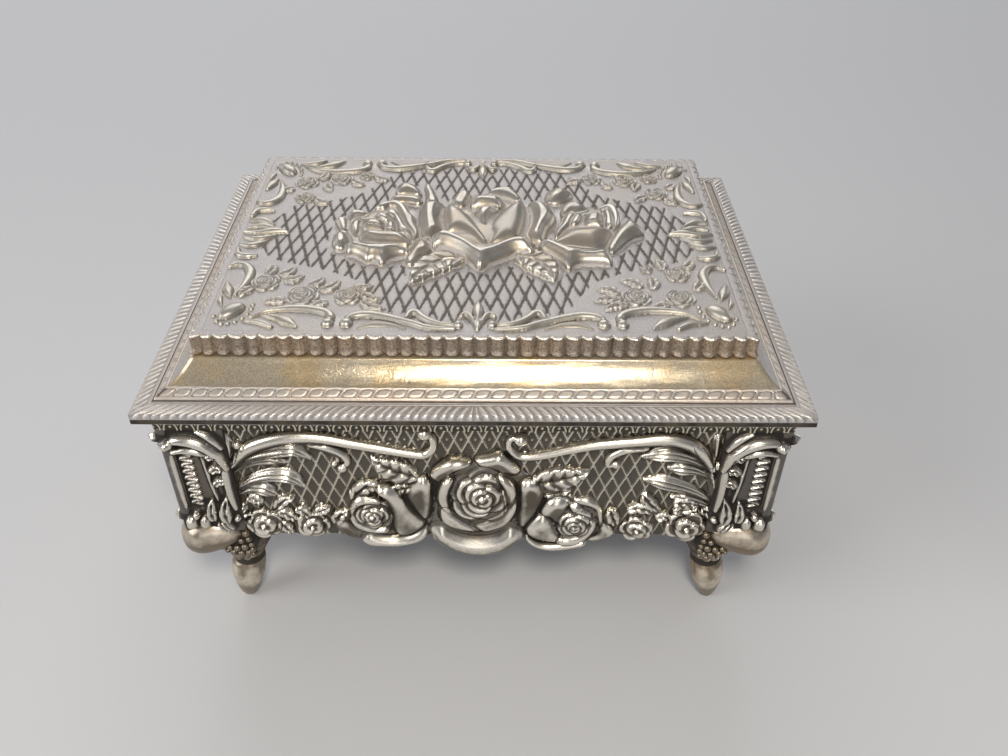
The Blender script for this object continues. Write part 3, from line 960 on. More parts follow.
card, bench, shader = new_finish("dark_card")
place = bench.place()
fibres = bench.noise(bench.scaled(place, (0.25, 1.0, 1.0)), 2400.0, 5.0, 0.7)
flecks = bench.ramp(bench.noise(place, 1500.0, 3.0, 0.6), 0.62, 0.7)
pulp = bench.mix(bench.ramp(fibres, 0.3, 0.7), (0.11, 0.085, 0.065), (0.17, 0.135, 0.105))
bench.feed(shader, {"Base Color": bench.mix(flecks, pulp, (0.14, 0.11, 0.08)), "Roughness": 0.9,
                    "Normal": bench.bump(bench.math("MULTIPLY", fibres, 0.04))})
dress("floor_board", card)


# ---- Floor pad ------------------------------------------------------------
# A thin foam pad covered in dark red velvet lies on the floor board. The
# velvet is drawn over the edges, so the middle stands highest.

velvet, bench, shader = new_finish("red_velvet")
place = bench.place()
brushed = bench.ramp(bench.noise(place, 42.0, 3.0, 0.55), 0.38, 0.64)
tufts = bench.noise(place, 5200.0, 2.0, 0.7)
edge_on = bench.add("ShaderNodeLayerWeight", {"Blend": 0.35}).outputs["Facing"]
pile = bench.mix(brushed, (0.055, 0.0035, 0.008), (0.115, 0.008, 0.016))
pile = bench.mix(bench.ramp(tufts, 0.35, 0.75, 0.0, 0.5), pile, (0.20, 0.016, 0.028))
pile = bench.mix(bench.ramp(edge_on, 0.45, 1.0, 0.0, 0.75), pile, (0.30, 0.05, 0.06))
nap = bench.math("ADD", bench.math("MULTIPLY", tufts, 0.09), bench.math("MULTIPLY", brushed, 0.10))
bench.feed(shader, {"Base Color": pile, "Roughness": 0.88, "Sheen Weight": 0.55, "Sheen Roughness": 0.35,
                    "Sheen Tint": (0.75, 0.25, 0.27, 1.0), "Specular IOR Level": 0.25,
                    "Normal": bench.bump(nap, 0.8)})

PAD_PITCH, PAD_SHOULDER, PAD_FRAMES, PAD_DRIFT = 1.45, 1.6, 20, 0.25


def blown_up(case, mesh):
    """The places of a closed case after its cloth has been blown up by the solver. It is done at ten times the
    size, where the cloth's stiffness is in proportion."""
    blown = bpy.data.objects.new("case", mesh.copy())
    blown.data.vertices.foreach_set("co", (case * 0.01).astype(np.float32).ravel())
    bpy.context.scene.collection.objects.link(blown)
    cloth = blown.modifiers.new("Cloth", "CLOTH")
    cloth.settings.quality = 6
    cloth.settings.mass = 0.2
    cloth.settings.tension_stiffness = cloth.settings.compression_stiffness = 12
    cloth.settings.bending_stiffness = 0.6
    cloth.settings.use_pressure = True
    cloth.settings.uniform_pressure_force = 4.0
    cloth.settings.effector_weights.gravity = 0.0
    cloth.point_cache.frame_start, cloth.point_cache.frame_end = 1, PAD_FRAMES
    for number in range(1, PAD_FRAMES + 1):
        bpy.context.scene.frame_set(number)
    swollen = blown.evaluated_get(bpy.context.evaluated_depsgraph_get()).to_mesh()
    found = np.empty(3 * len(case), np.float32)
    swollen.vertices.foreach_get("co", found)
    bpy.data.objects.remove(blown)
    bpy.context.scene.frame_set(1)
    return found.reshape(-1, 3).astype(float) * 100


def stuffed(name, body, half_x, half_y, rest, free, crown):
    """A thin cushion between the heights rest, where it lies flat, and free. Its closed case is blown up, but
    no point moves further than crown, and none goes below where it rests."""
    side = 1 if free > rest else -1
    cols, rows = 2 * round(half_x / PAD_PITCH) + 1, 2 * round(half_y / PAD_PITCH) + 1
    x, y = np.meshgrid(np.linspace(-half_x, half_x, cols)[::side], np.linspace(-half_y, half_y, rows))
    inward = np.minimum(half_x - np.abs(x), half_y - np.abs(y))
    top = rest + (free - rest) * (0.35 + 0.65 * quarter_round(inward, PAD_SHOULDER))
    case, faces, _ = slab(placed(x, y, top), placed(x, y, rest), np.zeros_like(x), block=1)
    piece = make_piece(name, body, (case, faces, 0.0), velvet)
    step = blown_up(case, piece.data) - case
    far = np.maximum(np.hypot(np.hypot(step[:, 0], step[:, 1]), step[:, 2]), 1e-6)
    step *= np.minimum(1, crown / far)[:, None]
    step[:, :2] = np.clip(step[:, :2], -PAD_DRIFT, PAD_DRIFT)
    case = case + step
    case[:, 2] = np.maximum(case[:, 2], rest) if side > 0 else np.minimum(case[:, 2], rest)
    piece.data.vertices.foreach_set("co", (case * 0.001).astype(np.float32).ravel())
    piece.data.update()
    smooth = piece.modifiers.new("Subdivision", "SUBSURF")
    smooth.levels = smooth.render_levels = 1
    return piece


floor_cushion = stuffed("velvet_floor_pad", "box", 49.3, 35.4, 28.2, 30.9, 1.3)
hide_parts("floor_pad")


# ---- Wall linings ---------------------------------------------------------
# Four cards wrapped in the same velvet stand against the walls inside. Their
# top edges are rounded by the fold of the velvet.

LINING_FOOT, LINING_TOP = 28.25, 54.75


def wrapped_card(length, face, turns):
    """A thin slab with rounded edges, its velvet face slightly hollowed by glue: half as thick as its
    card plus a fold that follows a quarter round near each edge."""
    along, up = np.meshgrid(np.linspace(-length, length, 181), np.linspace(LINING_FOOT, LINING_TOP, 53))
    edge = np.minimum(length - np.abs(along), np.minimum(up - LINING_FOOT, LINING_TOP - up))
    ripple = 0.05 * np.sin(along * 0.9 + 0.7 * np.sin(up * 0.35)) * np.clip(edge / 3, 0, 1)
    velvet_face = face - 0.05 - 0.92 * quarter_round(edge, 0.7) + ripple
    sheets = [quarter_turned(placed(-along, out, up), turns) for out in (velvet_face, face)]
    return slab(*sheets, np.zeros_like(along))


for turns, side in enumerate(("back", "left", "front", "right")):
    length, face = (50.6, 36.9) if turns % 2 == 0 else (35.6, 50.8)
    lining = make_piece("velvet_lining_" + side, "box", wrapped_card(length, face, turns), velvet)
    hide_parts("lining_" + side)


# ---- Hinge pins -----------------------------------------------------------
# Two drawn steel wires under the back edge of the lid are the hinge pins. Each
# sits in a pair of lugs of the body.

pin_steel = rolled_steel("pin_steel", (0.50, 0.48, 0.44), (0.04, 1.0, 1.0), 0.38)
dress("hinge_pin_left", pin_steel)
dress("hinge_pin_right", pin_steel)


# ---- Lid casting ----------------------------------------------------------
# The lid is a second casting: a flat rim, a concave cove and a raised panel.
# Its underside and hinge knuckles are plain cast metal, plated like the rest.

lid_metal = plated_metal("lid_plating", (0.14, 0.125, 0.115), (0.43, 0.412, 0.415), (0.46, 0.42, 0.385),
                         (0.56, 0.535, 0.515), recess_edge=-0.4, high_edge=0.4, warm_share=0.4, roughness=0.5,
                         shine=0.42, grit=0.05, speckle=0.8, metallic=0.7)
dress("lid_casting", lid_metal)


# ---- Rope edge of the lid -------------------------------------------------
# The rim of the lid is cast as a twisted rope laid flat: slanting bars that meet
# at the middle of the front and back, with round ends hanging over the edge.

RIM_TOP, ROPE_PITCH, ROPE_GROOVE = 58.0, 1.5, 2.52


def carried_round(section, step, ends=1.2, straight=None):
    """A section carried round a mitred rectangle. Along each side the section's inset and height are
    functions of the place along it; ends fades the pattern out so that the four sides agree on the
    diagonals where they meet. Its rows fan out toward the corners, or with straight, an inset, run
    square to the side until the last few millimetres."""
    points, reliefs = [], []
    for turns in range(4):
        half_long, half_cross = (HALF_LENGTH, HALF_DEPTH) if turns % 2 == 0 else (HALF_DEPTH, HALF_LENGTH)
        share = np.linspace(-1, 1, round(2 * half_long / step), endpoint=False)[:, None]
        fade = smooth_step((1 - np.abs(share)) * half_long, 0.0, ends)
        inset, height, relief = section(share * half_long, fade, turns, half_long)
        held = inset
        if straight is not None:
            held = straight + (inset - straight) * smooth_step(np.abs(share), 1 - 5 / half_long, 1.0)
        points.append(quarter_turned(placed(share * (half_long - held), inset - half_cross, height), turns))
        reliefs.append(np.broadcast_to(relief, inset.shape))
    return tube(np.concatenate(points), np.concatenate(reliefs), closed=True)


def section_normals(inset, height):
    """Unit normals of a closed section that runs up the outside, inward over the top and back underneath."""
    run, rise = np.roll(inset, -1) - np.roll(inset, 1), np.roll(height, -1) - np.roll(height, 1)
    length = np.hypot(run, rise)
    return -rise / length, run / length


rope_inset = np.array([0.25, 0.02, 0.0, 0.0, 0.0, 0.04, 0.14, 0.3, 0.5, 0.75, 1.0, 1.25, 1.5, 1.75, 2.0, 2.2, 2.38,
                       2.52, 2.62, 2.75, 2.9, 2.95, 2.9, 0.6])
rope_height = RIM_TOP + np.array([-1.32, -1.3, -1.27, -1.22, -1.15, -0.8, -0.5, -0.26, -0.12, -0.04, 0.0, 0.02, 0.03,
                                  0.03, 0.02, 0.0, -0.03, -0.06, 0.02, 0.08, 0.06, -0.1, -0.5, -0.7])
# the share of the rope's pattern on each line of the section: none low on the outside or on the inner edge
rope_share = np.interp(rope_height, [RIM_TOP - 1.2, RIM_TOP - 0.85], [0, 1])
rope_share = rope_share * (rope_inset < 2.55) * (1 - smooth_step(rope_inset, 2.2, 2.5))


def rope_section(along, fade, turns, half_long):
    """Lumps side by side over the outer edge and the top, each a flattened parabola across a slanting bar. The
    bars slant away from the middle of the front and back, and a groove runs along their inner ends."""
    out, up = section_normals(rope_inset, rope_height)
    slant = np.sign(along) * (0.55 * np.minimum(np.abs(along) / 0.8, 1) if turns % 2 == 0 else 0.12)
    phase = (along + slant * rope_inset) / ROPE_PITCH + 0.06 * np.sin(along * 1.3)
    lump = 1 - (2 * (phase - np.floor(phase)) - 1) ** 2
    ball = 1 + 0.5 * np.exp(-((rope_inset - 0.3) / 0.35) ** 2) * (rope_height < RIM_TOP + 0.05)
    lift = rope_share * (0.36 * lump ** 0.6 * ball * fade + 0.22 * (1 - fade) - 0.12)
    shade = rope_share * (1.1 * lump - 0.62) + (rope_share == 0) * np.where(rope_inset < 0.3, -0.5, 0.05)
    groove = 0.35 * np.exp(-((rope_inset - ROPE_GROOVE) / 0.1) ** 2)
    return rope_inset + out * lift, rope_height + up * (lift - 0.3 * groove), shade - 1.6 * groove


rope_metal = plated_metal("rope_plating", (0.15, 0.135, 0.13), (0.54, 0.51, 0.495), (0.56, 0.51, 0.475),
                          (0.80, 0.77, 0.745), recess_edge=-0.35, high_edge=0.3, warm_share=0.3,
                          roughness=0.5, shine=0.4, metallic=0.75)
make_piece("lid_rope_edge", "lid", carried_round(rope_section, 0.17), rope_metal)


# ---- Rim edge of the lid --------------------------------------------------
# Below the rope the upright edge of the rim is a plain strip. It is cast with
# the lid and left blackened.

strip_inset = np.array([0.3, 0.04, -0.03, -0.05, -0.05, -0.05, -0.03, 0.05, 0.3])
strip_height = RIM_TOP + np.array([-2.13, -2.14, -2.1, -1.95, -1.7, -1.4, -1.22, -1.12, -1.14])


def strip_section(along, fade, turns, half_long):
    """A flat strip, its face wavering by a few hundredths of a millimetre."""
    waver = 0.03 * np.sin(along * 0.9 + turns) * np.sin(along * 0.31) * (strip_inset < 0)
    return strip_inset - waver, strip_height + 0 * along, np.where(strip_inset < 0, -0.35, -0.8) + 4 * waver


strip_metal = plated_metal("rim_edge_plating", (0.035, 0.031, 0.026), (0.12, 0.105, 0.085), (0.16, 0.13, 0.09),
                           (0.40, 0.36, 0.30), recess_edge=-0.3, high_edge=0.2, roughness=0.5)
make_piece("lid_rim_edge", "lid", carried_round(strip_section, 0.8), strip_metal)


# ---- Chain band of the lid ------------------------------------------------
# Inside the rope a sloping band carries a row of small leaning pads between two
# thin rails. The pads are rubbed to brass where hands lift the lid.

CHAIN_PITCH, CHAIN_MIDDLE, CHAIN_LEAN, CHAIN_RAILS = 3.05, 4.45, 0.7, (3.6, 5.3)
chain_inset = np.array([3.0, 2.95, 3.1, 3.3, 3.5, 3.62, 3.75, 3.9, 4.05, 4.2, 4.35, 4.5, 4.65, 4.8, 4.95, 5.1, 5.22,
                        5.36, 5.5, 5.4, 4.0])
chain_height = RIM_TOP + np.array([-0.2, 0.12, 0.27, 0.34, 0.43, 0.56, 0.66, 0.76, 0.85, 0.94, 1.02, 1.11, 1.19, 1.28,
                                   1.37, 1.47, 1.55, 1.66, 1.6, 1.2, 0.2])


def chain_section(along, fade, turns, half_long):
    """Leaning pads between two rails. Each pad is a flat top within a superellipse of the fourth power, with a
    thin outline round it. Outlines and rails are ridges that fade with distance."""
    out, up = section_normals(chain_inset, chain_height)
    middle = (chain_inset - CHAIN_MIDDLE) / 0.62
    phase = (along - CHAIN_LEAN * (chain_inset - CHAIN_MIDDLE)) / CHAIN_PITCH + 0.04 * np.sin(along * 0.9)
    across = 2 * (phase - np.floor(phase)) - 1
    away = ((np.abs(across) / 0.8) ** 4 + np.abs(middle) ** 4) ** 0.25
    pad = 0.15 * smooth_step(1 - away, 0.0, 0.22) * fade
    outline = 0.15 * np.exp(-((away - 1.22) / 0.13) ** 2) * (np.abs(middle) < 1.5)
    rails = 0.16 * sum(np.exp(-((chain_inset - rail) / 0.14) ** 2) for rail in CHAIN_RAILS)
    shown = (chain_height > RIM_TOP + 0.1) & (chain_inset > 3.05) & (chain_inset < 5.45)
    lift = shown * (np.maximum.reduce([pad, outline * fade + 0 * rails, rails + 0 * pad]) - 0.02)
    shade = shown * np.clip((lift - 0.055) / 0.09, -0.9, 0.6)
    return chain_inset + out * lift, chain_height + up * lift, shade


chain_metal = plated_metal("chain_plating", (0.13, 0.11, 0.10), (0.52, 0.48, 0.45), (0.57, 0.46, 0.375),
                           (0.68, 0.62, 0.56), recess_edge=-0.35, high_edge=0.45, warm_share=0.7,
                           roughness=0.46, shine=0.4, metallic=0.8)
make_piece("lid_chain_band", "lid", carried_round(chain_section, 0.24, straight=4.4), chain_metal)


# ---- Cove of the lid ------------------------------------------------------
# A smooth concave slope between the chain band and the panel, left plain and
# rubbed most, so the warm brass under the silver shows in soft patches.

COVE_RUN, COVE_CLIMB, COVE_SAG = 3.6, 3.55, 0.24
cove_share = np.linspace(0, 1, 22)
cove_bow = 4 * COVE_SAG * cove_share * (1 - cove_share) / math.hypot(COVE_RUN, COVE_CLIMB)
slope_inset = 5.3 + COVE_RUN * cove_share + COVE_CLIMB * cove_bow
slope_height = 1.56 + COVE_CLIMB * cove_share - COVE_RUN * cove_bow
cove_inset = np.concatenate([[5.45, 5.22], slope_inset, [9.0, 9.3, 9.7, 10.1, 10.5, 10.6, 10.4, 9.4],
                             slope_inset[19:1:-3] + 0.35])
cove_height = RIM_TOP + np.concatenate([[1.2, 1.45], slope_height, [5.13, 5.12, 5.12, 5.12, 5.12, 5.0, 4.7, 4.6],
                                        slope_height[19:1:-3] - 0.35])


def cove_section(along, fade, turns, half_long):
    """The slope with slow dents of a few hundredths of a millimetre, bright along its top edge."""
    dents = 0.03 * np.sin(along * 0.37 + 1.3 * turns) * np.sin(cove_inset * 0.9) * fade
    rim = 0.5 * np.exp(-((cove_inset - 9.0) / 0.12) ** 2) - 0.2 * (cove_inset > 9.8)
    slope = (cove_inset > 6) & (cove_inset < 8.6)
    return cove_inset + 0 * along, cove_height + dents * slope, 0.06 + rim + 0 * along


cove_metal = plated_metal("cove_plating", (0.11, 0.09, 0.065), (0.49, 0.45, 0.385), (0.54, 0.45, 0.31),
                          (0.66, 0.60, 0.51), recess_edge=-0.3, high_edge=0.45, warm_share=1.0,
                          grit=0.022, dents=0.03, speckle=1.3)
cove_shader = cove_metal.node_tree.nodes["Principled BSDF"].inputs
cove_shader["Coat Weight"].default_value = 0.35
cove_shader["Coat Roughness"].default_value = 0.12

# Only the front slope is rubbed: the part nearer the front edge than the side edges. The rest is matt grey.
bench = Bench(cove_metal.node_tree)
x, y = bench.add("ShaderNodeSeparateXYZ", {0: bench.place()}).outputs[:2]
across = bench.math("SUBTRACT", bench.math("ABSOLUTE", y), bench.math("ABSOLUTE", x))
rubbed = bench.math("MULTIPLY", bench.ramp(across, -0.0144, -0.0134), bench.ramp(y, -0.01, 0.01, 1.0, 0.0))
finish = next(node for node in bench.tree.nodes if node.type == "GROUP" and node.node_tree == antique)
bench.feed(finish.inputs, {"Field": bench.mix(rubbed, (0.43, 0.412, 0.415), (0.53, 0.46, 0.35)),
                           "Warm": bench.mix(rubbed, (0.46, 0.42, 0.385), (0.58, 0.45, 0.27)),
                           "Field Roughness": bench.ramp(rubbed, 0.0, 1.0, 0.5, 0.18),
                           "Field Metallic": bench.ramp(rubbed, 0.0, 1.0, 0.65, 0.6)})
make_piece("lid_cove", "lid", carried_round(cove_section, 1.2), cove_metal)


# ---- Reeded edge of the panel ---------------------------------------------
# The raised panel stands on a wall of upright convex reeds, each with a rounded
# foot on the ledge. Their tops make the scalloped edge of the panel.

REED_PITCH, REED_FOOT, REED_TOP, REED_INSET = 2.57, 63.1, 67.2, 10.42
reed_climb = np.concatenate([[0, 0.008, 0.025, 0.055, 0.09, 0.13, 0.17], np.linspace(0.25, 0.85, 7),
                             np.linspace(0.9, 1, 5)])


def reed_section(along, fade, turns, half_long):
    """Up the reeds, over the scalloped top and back down inside the panel's edge. Across, each reed is an arc of
    an ellipse that is narrower at its foot."""
    count = round(2 * (half_long - REED_INSET) / REED_PITCH)
    pitch = 2 * half_long / count
    uneven = 0.10 * np.sin(along * 0.83 + turns) + 0.07 * np.sin(along * 2.1)
    phase = (along + half_long) / pitch + 0.5 + uneven * 0.5
    wide = quarter_round(reed_climb + 0.003, 0.16)
    arch = np.sqrt(np.clip(1 - ((2 * (phase - np.floor(phase)) - 1) / wide) ** 2 * 0.97, 0, 1)) * (0.55 + 0.45 * wide)
    arch = arch * fade + 0.75 * (1 - fade)
    foot = np.exp(-((reed_climb - 0.14) / 0.09) ** 2)
    head = smooth_step(reed_climb, 0.9, 1.0)
    out = 1.08 * arch + 0.42 * foot * arch - 0.16 * head + 0.12 * np.exp(-((reed_climb - 0.93) / 0.05) ** 2)
    inset = REED_INSET - out
    height = REED_FOOT + (REED_TOP - REED_FOOT) * reed_climb + 0 * arch
    back = np.array([0.25, 1.4, 1.5, 1.2, 0.9]) + REED_INSET - 0.8 * arch[:, -1:] * (np.arange(5) < 1)
    low = np.array([-0.05, -0.3, -1.5, -3.5, -4.2]) + REED_TOP + 0 * along
    shade = np.concatenate([0.75 * arch - 0.6 + 1.1 * head, np.full(back.shape, 0.2)], 1)
    return np.concatenate([inset, back], 1), np.concatenate([height, low], 1), shade


reed_metal = plated_metal("reed_plating", (0.05, 0.041, 0.034), (0.42, 0.36, 0.305), (0.50, 0.40, 0.30),
                          (0.78, 0.73, 0.66), recess_edge=-0.35, high_edge=0.4, warm_share=0.7, roughness=0.5,
                          grit=0.09, dents=0.16, speckle=2.2)
make_piece("lid_reeded_edge", "lid", carried_round(reed_section, 0.22, 0.5, 9.6), reed_metal)


# ---- Panel rim ------------------------------------------------------------
# The panel's face runs on over the reeds to their scalloped edge, plated matt
# grey like the panel itself.

def rim_section(along, fade, turns, half_long):
    """From just inside the reeds' tops, following their arcs, to just under the lattice."""
    inset, height, _ = reed_section(along, fade, turns, half_long)
    edge = inset[:, reed_climb.size - 1:reed_climb.size] + 0.12
    run = np.array([0, 0.06, 0.2, 0.5, 0.992, 1.0, 1.0, 0.5, 0.1])
    lift = np.array([-0.12, 0.02, 0.06, 0.04, 0.012, 0.01, -0.4, -0.5, -0.4])
    return edge + (11.15 - edge) * run, REED_TOP + lift + 0 * edge, np.where(run < 0.08, 0.5, 0.1) + 0 * edge


make_piece("lid_panel_rim", "lid", carried_round(rim_section, 0.22, 0.5, 9.6), lid_metal)


# ---- Scroll border of the panel -------------------------------------------
# Rococo scrolls cast in low relief run round the edge of the panel, mirrored
# left to right and front to back, with an oval boss in each corner.

PANEL_TOP = 67.2
# Scrolls of one quarter: height, half widths, sizes of the balls at the two ends, and the path.
CORNER_SCROLLS = (
    # long scroll beside the palmette, a second bar over it, and a low leaf under it
    (0.4, (0.3, 0.9, 0.8, 0.3), (0, 0), (20, 31.6, 17.5, 30.2, 14.6, 30.5, 12, 31.8)),
    (1.1, (0.6, 0.8, 0.95, 0.95, 0.85, 0.75, 0.7, 0.65, 0.55, 0.4), (1.2, 0), (22.1, 30.4, 22, 29.2, 20.8, 28.2,
     18.4, 27.9, 15.8, 28.5, 13.2, 29.4, 10.6, 30.4, 8.6, 31.4, 6, 32, 3.6, 32)),
    (1, (0.5, 0.85, 0.8, 0.7, 0.6, 0.5, 0.45), (0, 0.9), (12, 28.9, 11.3, 27.3, 10.2, 27.3, 9, 28.7, 7.4, 29.9,
     5.3, 30.7, 2.9, 30.8)),
    # long scroll near the corner, with two drops under it
    (1.05, (0.2, 0.45, 0.65, 0.85, 0.95, 0.95, 0.9, 0.8), (0, 1.15), (38.8, 28.8, 36.6, 27.1, 33.7, 26.3, 30.7, 26.1,
     28, 26.5, 26, 27.3, 25, 28.6, 25.3, 30.4)),
    (1, (0.15, 0.85, 1.2, 0.3), (0, 0), (36.9, 28.2, 34.2, 28.9, 32.3, 30, 30.5, 31.4)),
    (0.8, (0.15, 0.5, 0.65, 0.5), (0, 0), (40, 29.9, 37.4, 30.1, 35.8, 30.8, 34.8, 31.5)))
SIDE_SCROLLS = (
    # hook and drops up the short sides, and a bar above them
    (1.05, (0.5, 0.8, 1, 1, 0.85, 0.6, 0.25), (0, 0), (46, 12.6, 44.8, 11.8, 43.2, 12.2, 42, 13.9, 41.7, 16,
     42, 18.9, 42.9, 21.9)),
    (0.9, (0.15, 1.05, 0.5), (0, 0), (43.6, 22.8, 44.5, 20.6, 45.2, 18.2)),
    (0.7, (0.2, 0.5, 0.3), (0, 0), (44.6, 25.2, 45.2, 23.7, 45.3, 22.4)),
    (1, (0.5, 0.75, 0.7, 0.25), (0, 0), (45.9, 6.4, 45.3, 8.3, 43.7, 8.9, 41.8, 8.6)),
    (0.9, (0.3, 0.85, 0.25), (0, 0), (45.8, 4.6, 43.4, 4.9, 41, 3.4)),
    (0.9, (0.3, 0.75, 0.2), (0, 0), (45.6, 2, 42.6, 2.5, 39.4, 1)))
COLLAR = (45.2, 28.4, 44.4, 29.9, 43.4, 30.7, 42.3, 30.6, 41.2, 30, 40.2, 28.9, 39.6, 27.6, 39.2, 26.2, 39.2, 24.8)


def panel_sheet(relief, low):
    """Top and bottom sheets of a piece on the panel, its underside sunk low below the panel's face."""
    return [placed(relief.x, relief.y, PANEL_TOP + height) for height in (relief.h, -low)]


def panel_piece(name, relief, material, fine_step=0.22):
    """Ornament cast on the panel. Between its forms its edge lies just under the panel's face."""
    shade = relief.shade(fine_step=fine_step, broad_share=0.2)
    relief.h = np.where(relief.on, relief.h, relief.ground - 0.2)
    make_piece(name, "lid", slab(*panel_sheet(relief, 0.6), shade, relief.islands()), material)


border = Relief(-46.4, 46.4, -32.5, 32.5, 0.18)
for flip in ((-1, -1), (1, -1), (1, 1), (-1, 1)):
    def scrolls(rows):
        """The scrolls of a table, mirrored into this quarter of the panel."""
        for height, widths, knobs, points in rows:
            border.ridge(pairs(points) * flip, widths, 0.85 * height, knobs=knobs)

    scrolls(CORNER_SCROLLS)
    # oval corner boss in a collar of beads
    lean = math.degrees(math.atan2(4.6 * flip[1], 3.9 * flip[0])) - 90
    border.dome(42.4 * flip[0], 27.1 * flip[1], 1.6, 1.4, lean, 1.75)
    for x, y in pairs(COLLAR) * flip:
        border.dome(x, y, 0.45, 0.5, groove=0.1)
    scrolls(SIDE_SCROLLS)
for side in (-1, 1):
    border.ridge(pairs((46.0, 0.2, 43.0, -0.3, 40.4, 0.3, 37.4, 0.2)) * (side, 1), (0.3, 0.6, 1.0, 0.2), 1.05)
    # palmette in the middle of each long side: a pointed bulb between two leaves that curl outward
    for lean in (-1, 1):
        curl = pairs((0.15, 31.7, 0.8, 29.4, 1.5, 28.1, 2.2, 27.6, 2.9, 28.3)) * (lean, side) + (0.4, 0)
        border.ridge(curl, (0.35, 0.5, 0.6, 0.6, 0.45), 0.85)
    bulb = pairs((0.4, 31.9, 0.4, 30.0, 0.4, 28.2, 0.4, 26.2, 0.4, 25.0, 0.4, 23.6)) * (1, side)
    border.ridge(bulb, (0.4, 0.5, 0.7, 1.05, 0.85, 0.1), 1.1)
scroll_metal = plated_metal("scroll_plating", (0.13, 0.115, 0.10), (0.38, 0.36, 0.33), (0.42, 0.37, 0.29),
                            (0.56, 0.53, 0.48), recess_edge=-0.45, high_edge=0.4, warm_share=0.5,
                            roughness=0.48, shine=0.36, metallic=0.85)
panel_piece("lid_scroll_border", border, scroll_metal)


# ---- Small roses of the panel ---------------------------------------------
# A spray of small open roses with toothed leaves lies in each corner, cast in
# the same low relief as the scrolls.

# Roses of each corner: place and size.
SPRAYS = (((-38.3, -17.9, 2.8), (-31, -22, 3.2), (-22.8, -22, 2.8)),
          ((37, -14.4, 2.5), (28.7, -21.9, 2.9), (36.4, -22.2, 2.9), (31.5, -12.6, 1.4)),
          ((-37.2, 21.4, 2.7), (-30, 23, 2.6), (-36.6, 14.5, 2.3), (-24.6, 24.6, 1.8)),
          ((24, 23.6, 2.4), (31.2, 23, 2.7), (37.2, 17.2, 2.6), (36.6, 24, 2)))
# Leaves, each from its stalk to its tip.
LEAVES = (
    (-38.6, -15.2, -38.2, -11.6), (-36.4, -15.6, -33.6, -12.6), (-35.2, -17.2, -31.6, -15.4),
    (-30.4, -18.8, -27.8, -16.2), (-28.2, -20.6, -24.8, -17), (-22.6, -19.4, -18.6, -18.6),
    (-20.6, -21.4, -16.6, -23.2), (-20.4, -24, -15.6, -26), (-33.6, -24, -37.4, -24.4), (-26, -24.2, -28.6, -25.6),
    (-40.2, -19.6, -42, -22.6), (34.6, -12.6, 33.6, -9.4), (30.2, -18.8, 26, -16.6), (32, -19.2, 31.6, -15),
    (25.8, -21, 21.6, -19.6), (26, -23.2, 20.8, -23.4), (27, -24.6, 22.6, -26.2), (34.2, -24.6, 31.2, -25.8),
    (39.4, -19.6, 41, -16), (38.6, -12.2, 40.4, -9.4), (-34.6, 22.6, -33.6, 26), (-39.4, 18.6, -41.4, 16.8),
    (-34.2, 13.6, -31, 12), (-27.4, 22, -24.6, 20.2), (-32.8, 20.6, -31.2, 17.6), (-22.8, 24, -19.6, 22.6),
    (26.4, 22, 28.4, 19.4), (21.8, 22.6, 18.6, 21.6), (34, 21.6, 33, 18.4), (35, 15.6, 32.4, 13.4),
    (39.6, 19.6, 41.6, 21.6), (39, 15.2, 41.2, 12.4),
)
sprays = Relief(-43.0, 43.0, -27.6, 27.8, 0.16)
for x0, y0, x1, y1 in LEAVES:
    bend = (x0 + x1) / 2 + 0.12 * (y1 - y0), (y0 + y1) / 2 - 0.12 * (x1 - x0)
    sprays.leaf((x0, y0, *bend, x1, y1), 1.35, 0.65, veins=4, teeth=0.2)
for k, spray in enumerate(SPRAYS):
    for n, (x, y, size) in enumerate(spray):
        sprays.rose(x, y, size, 0.9, turn=47 * n + 29 * k)
spray_metal = plated_metal("spray_plating", (0.13, 0.11, 0.09), (0.42, 0.395, 0.38), (0.46, 0.40, 0.32),
                           (0.58, 0.55, 0.51), recess_edge=-0.4, high_edge=0.45, warm_share=0.6,
                           roughness=0.5, shine=0.38, metallic=0.75)
panel_piece("lid_corner_roses", sprays, spray_metal, 0.15)


# ---- Rose bouquet of the lid ----------------------------------------------
# Three open roses in high relief stand in the middle of the lid, with thick
# rolled petals, buds behind and a veined leaf at each lower side.

BOUQUET_SWELLS = ((0.5, 0.0, 9.0, 2.2), (-19.5, 0.5, 6.0, 1.5), (20.5, 0.5, 6.0, 1.5))
LEFT_LEAF = (-2.4, -10.6, -6.0, -10.6, -9.2, -13.2, -12.2, -18.2)
RIGHT_LEAF = (7.0, -9.2, 10.4, -10.2, 12.6, -13.0, 14.2, -17.0)
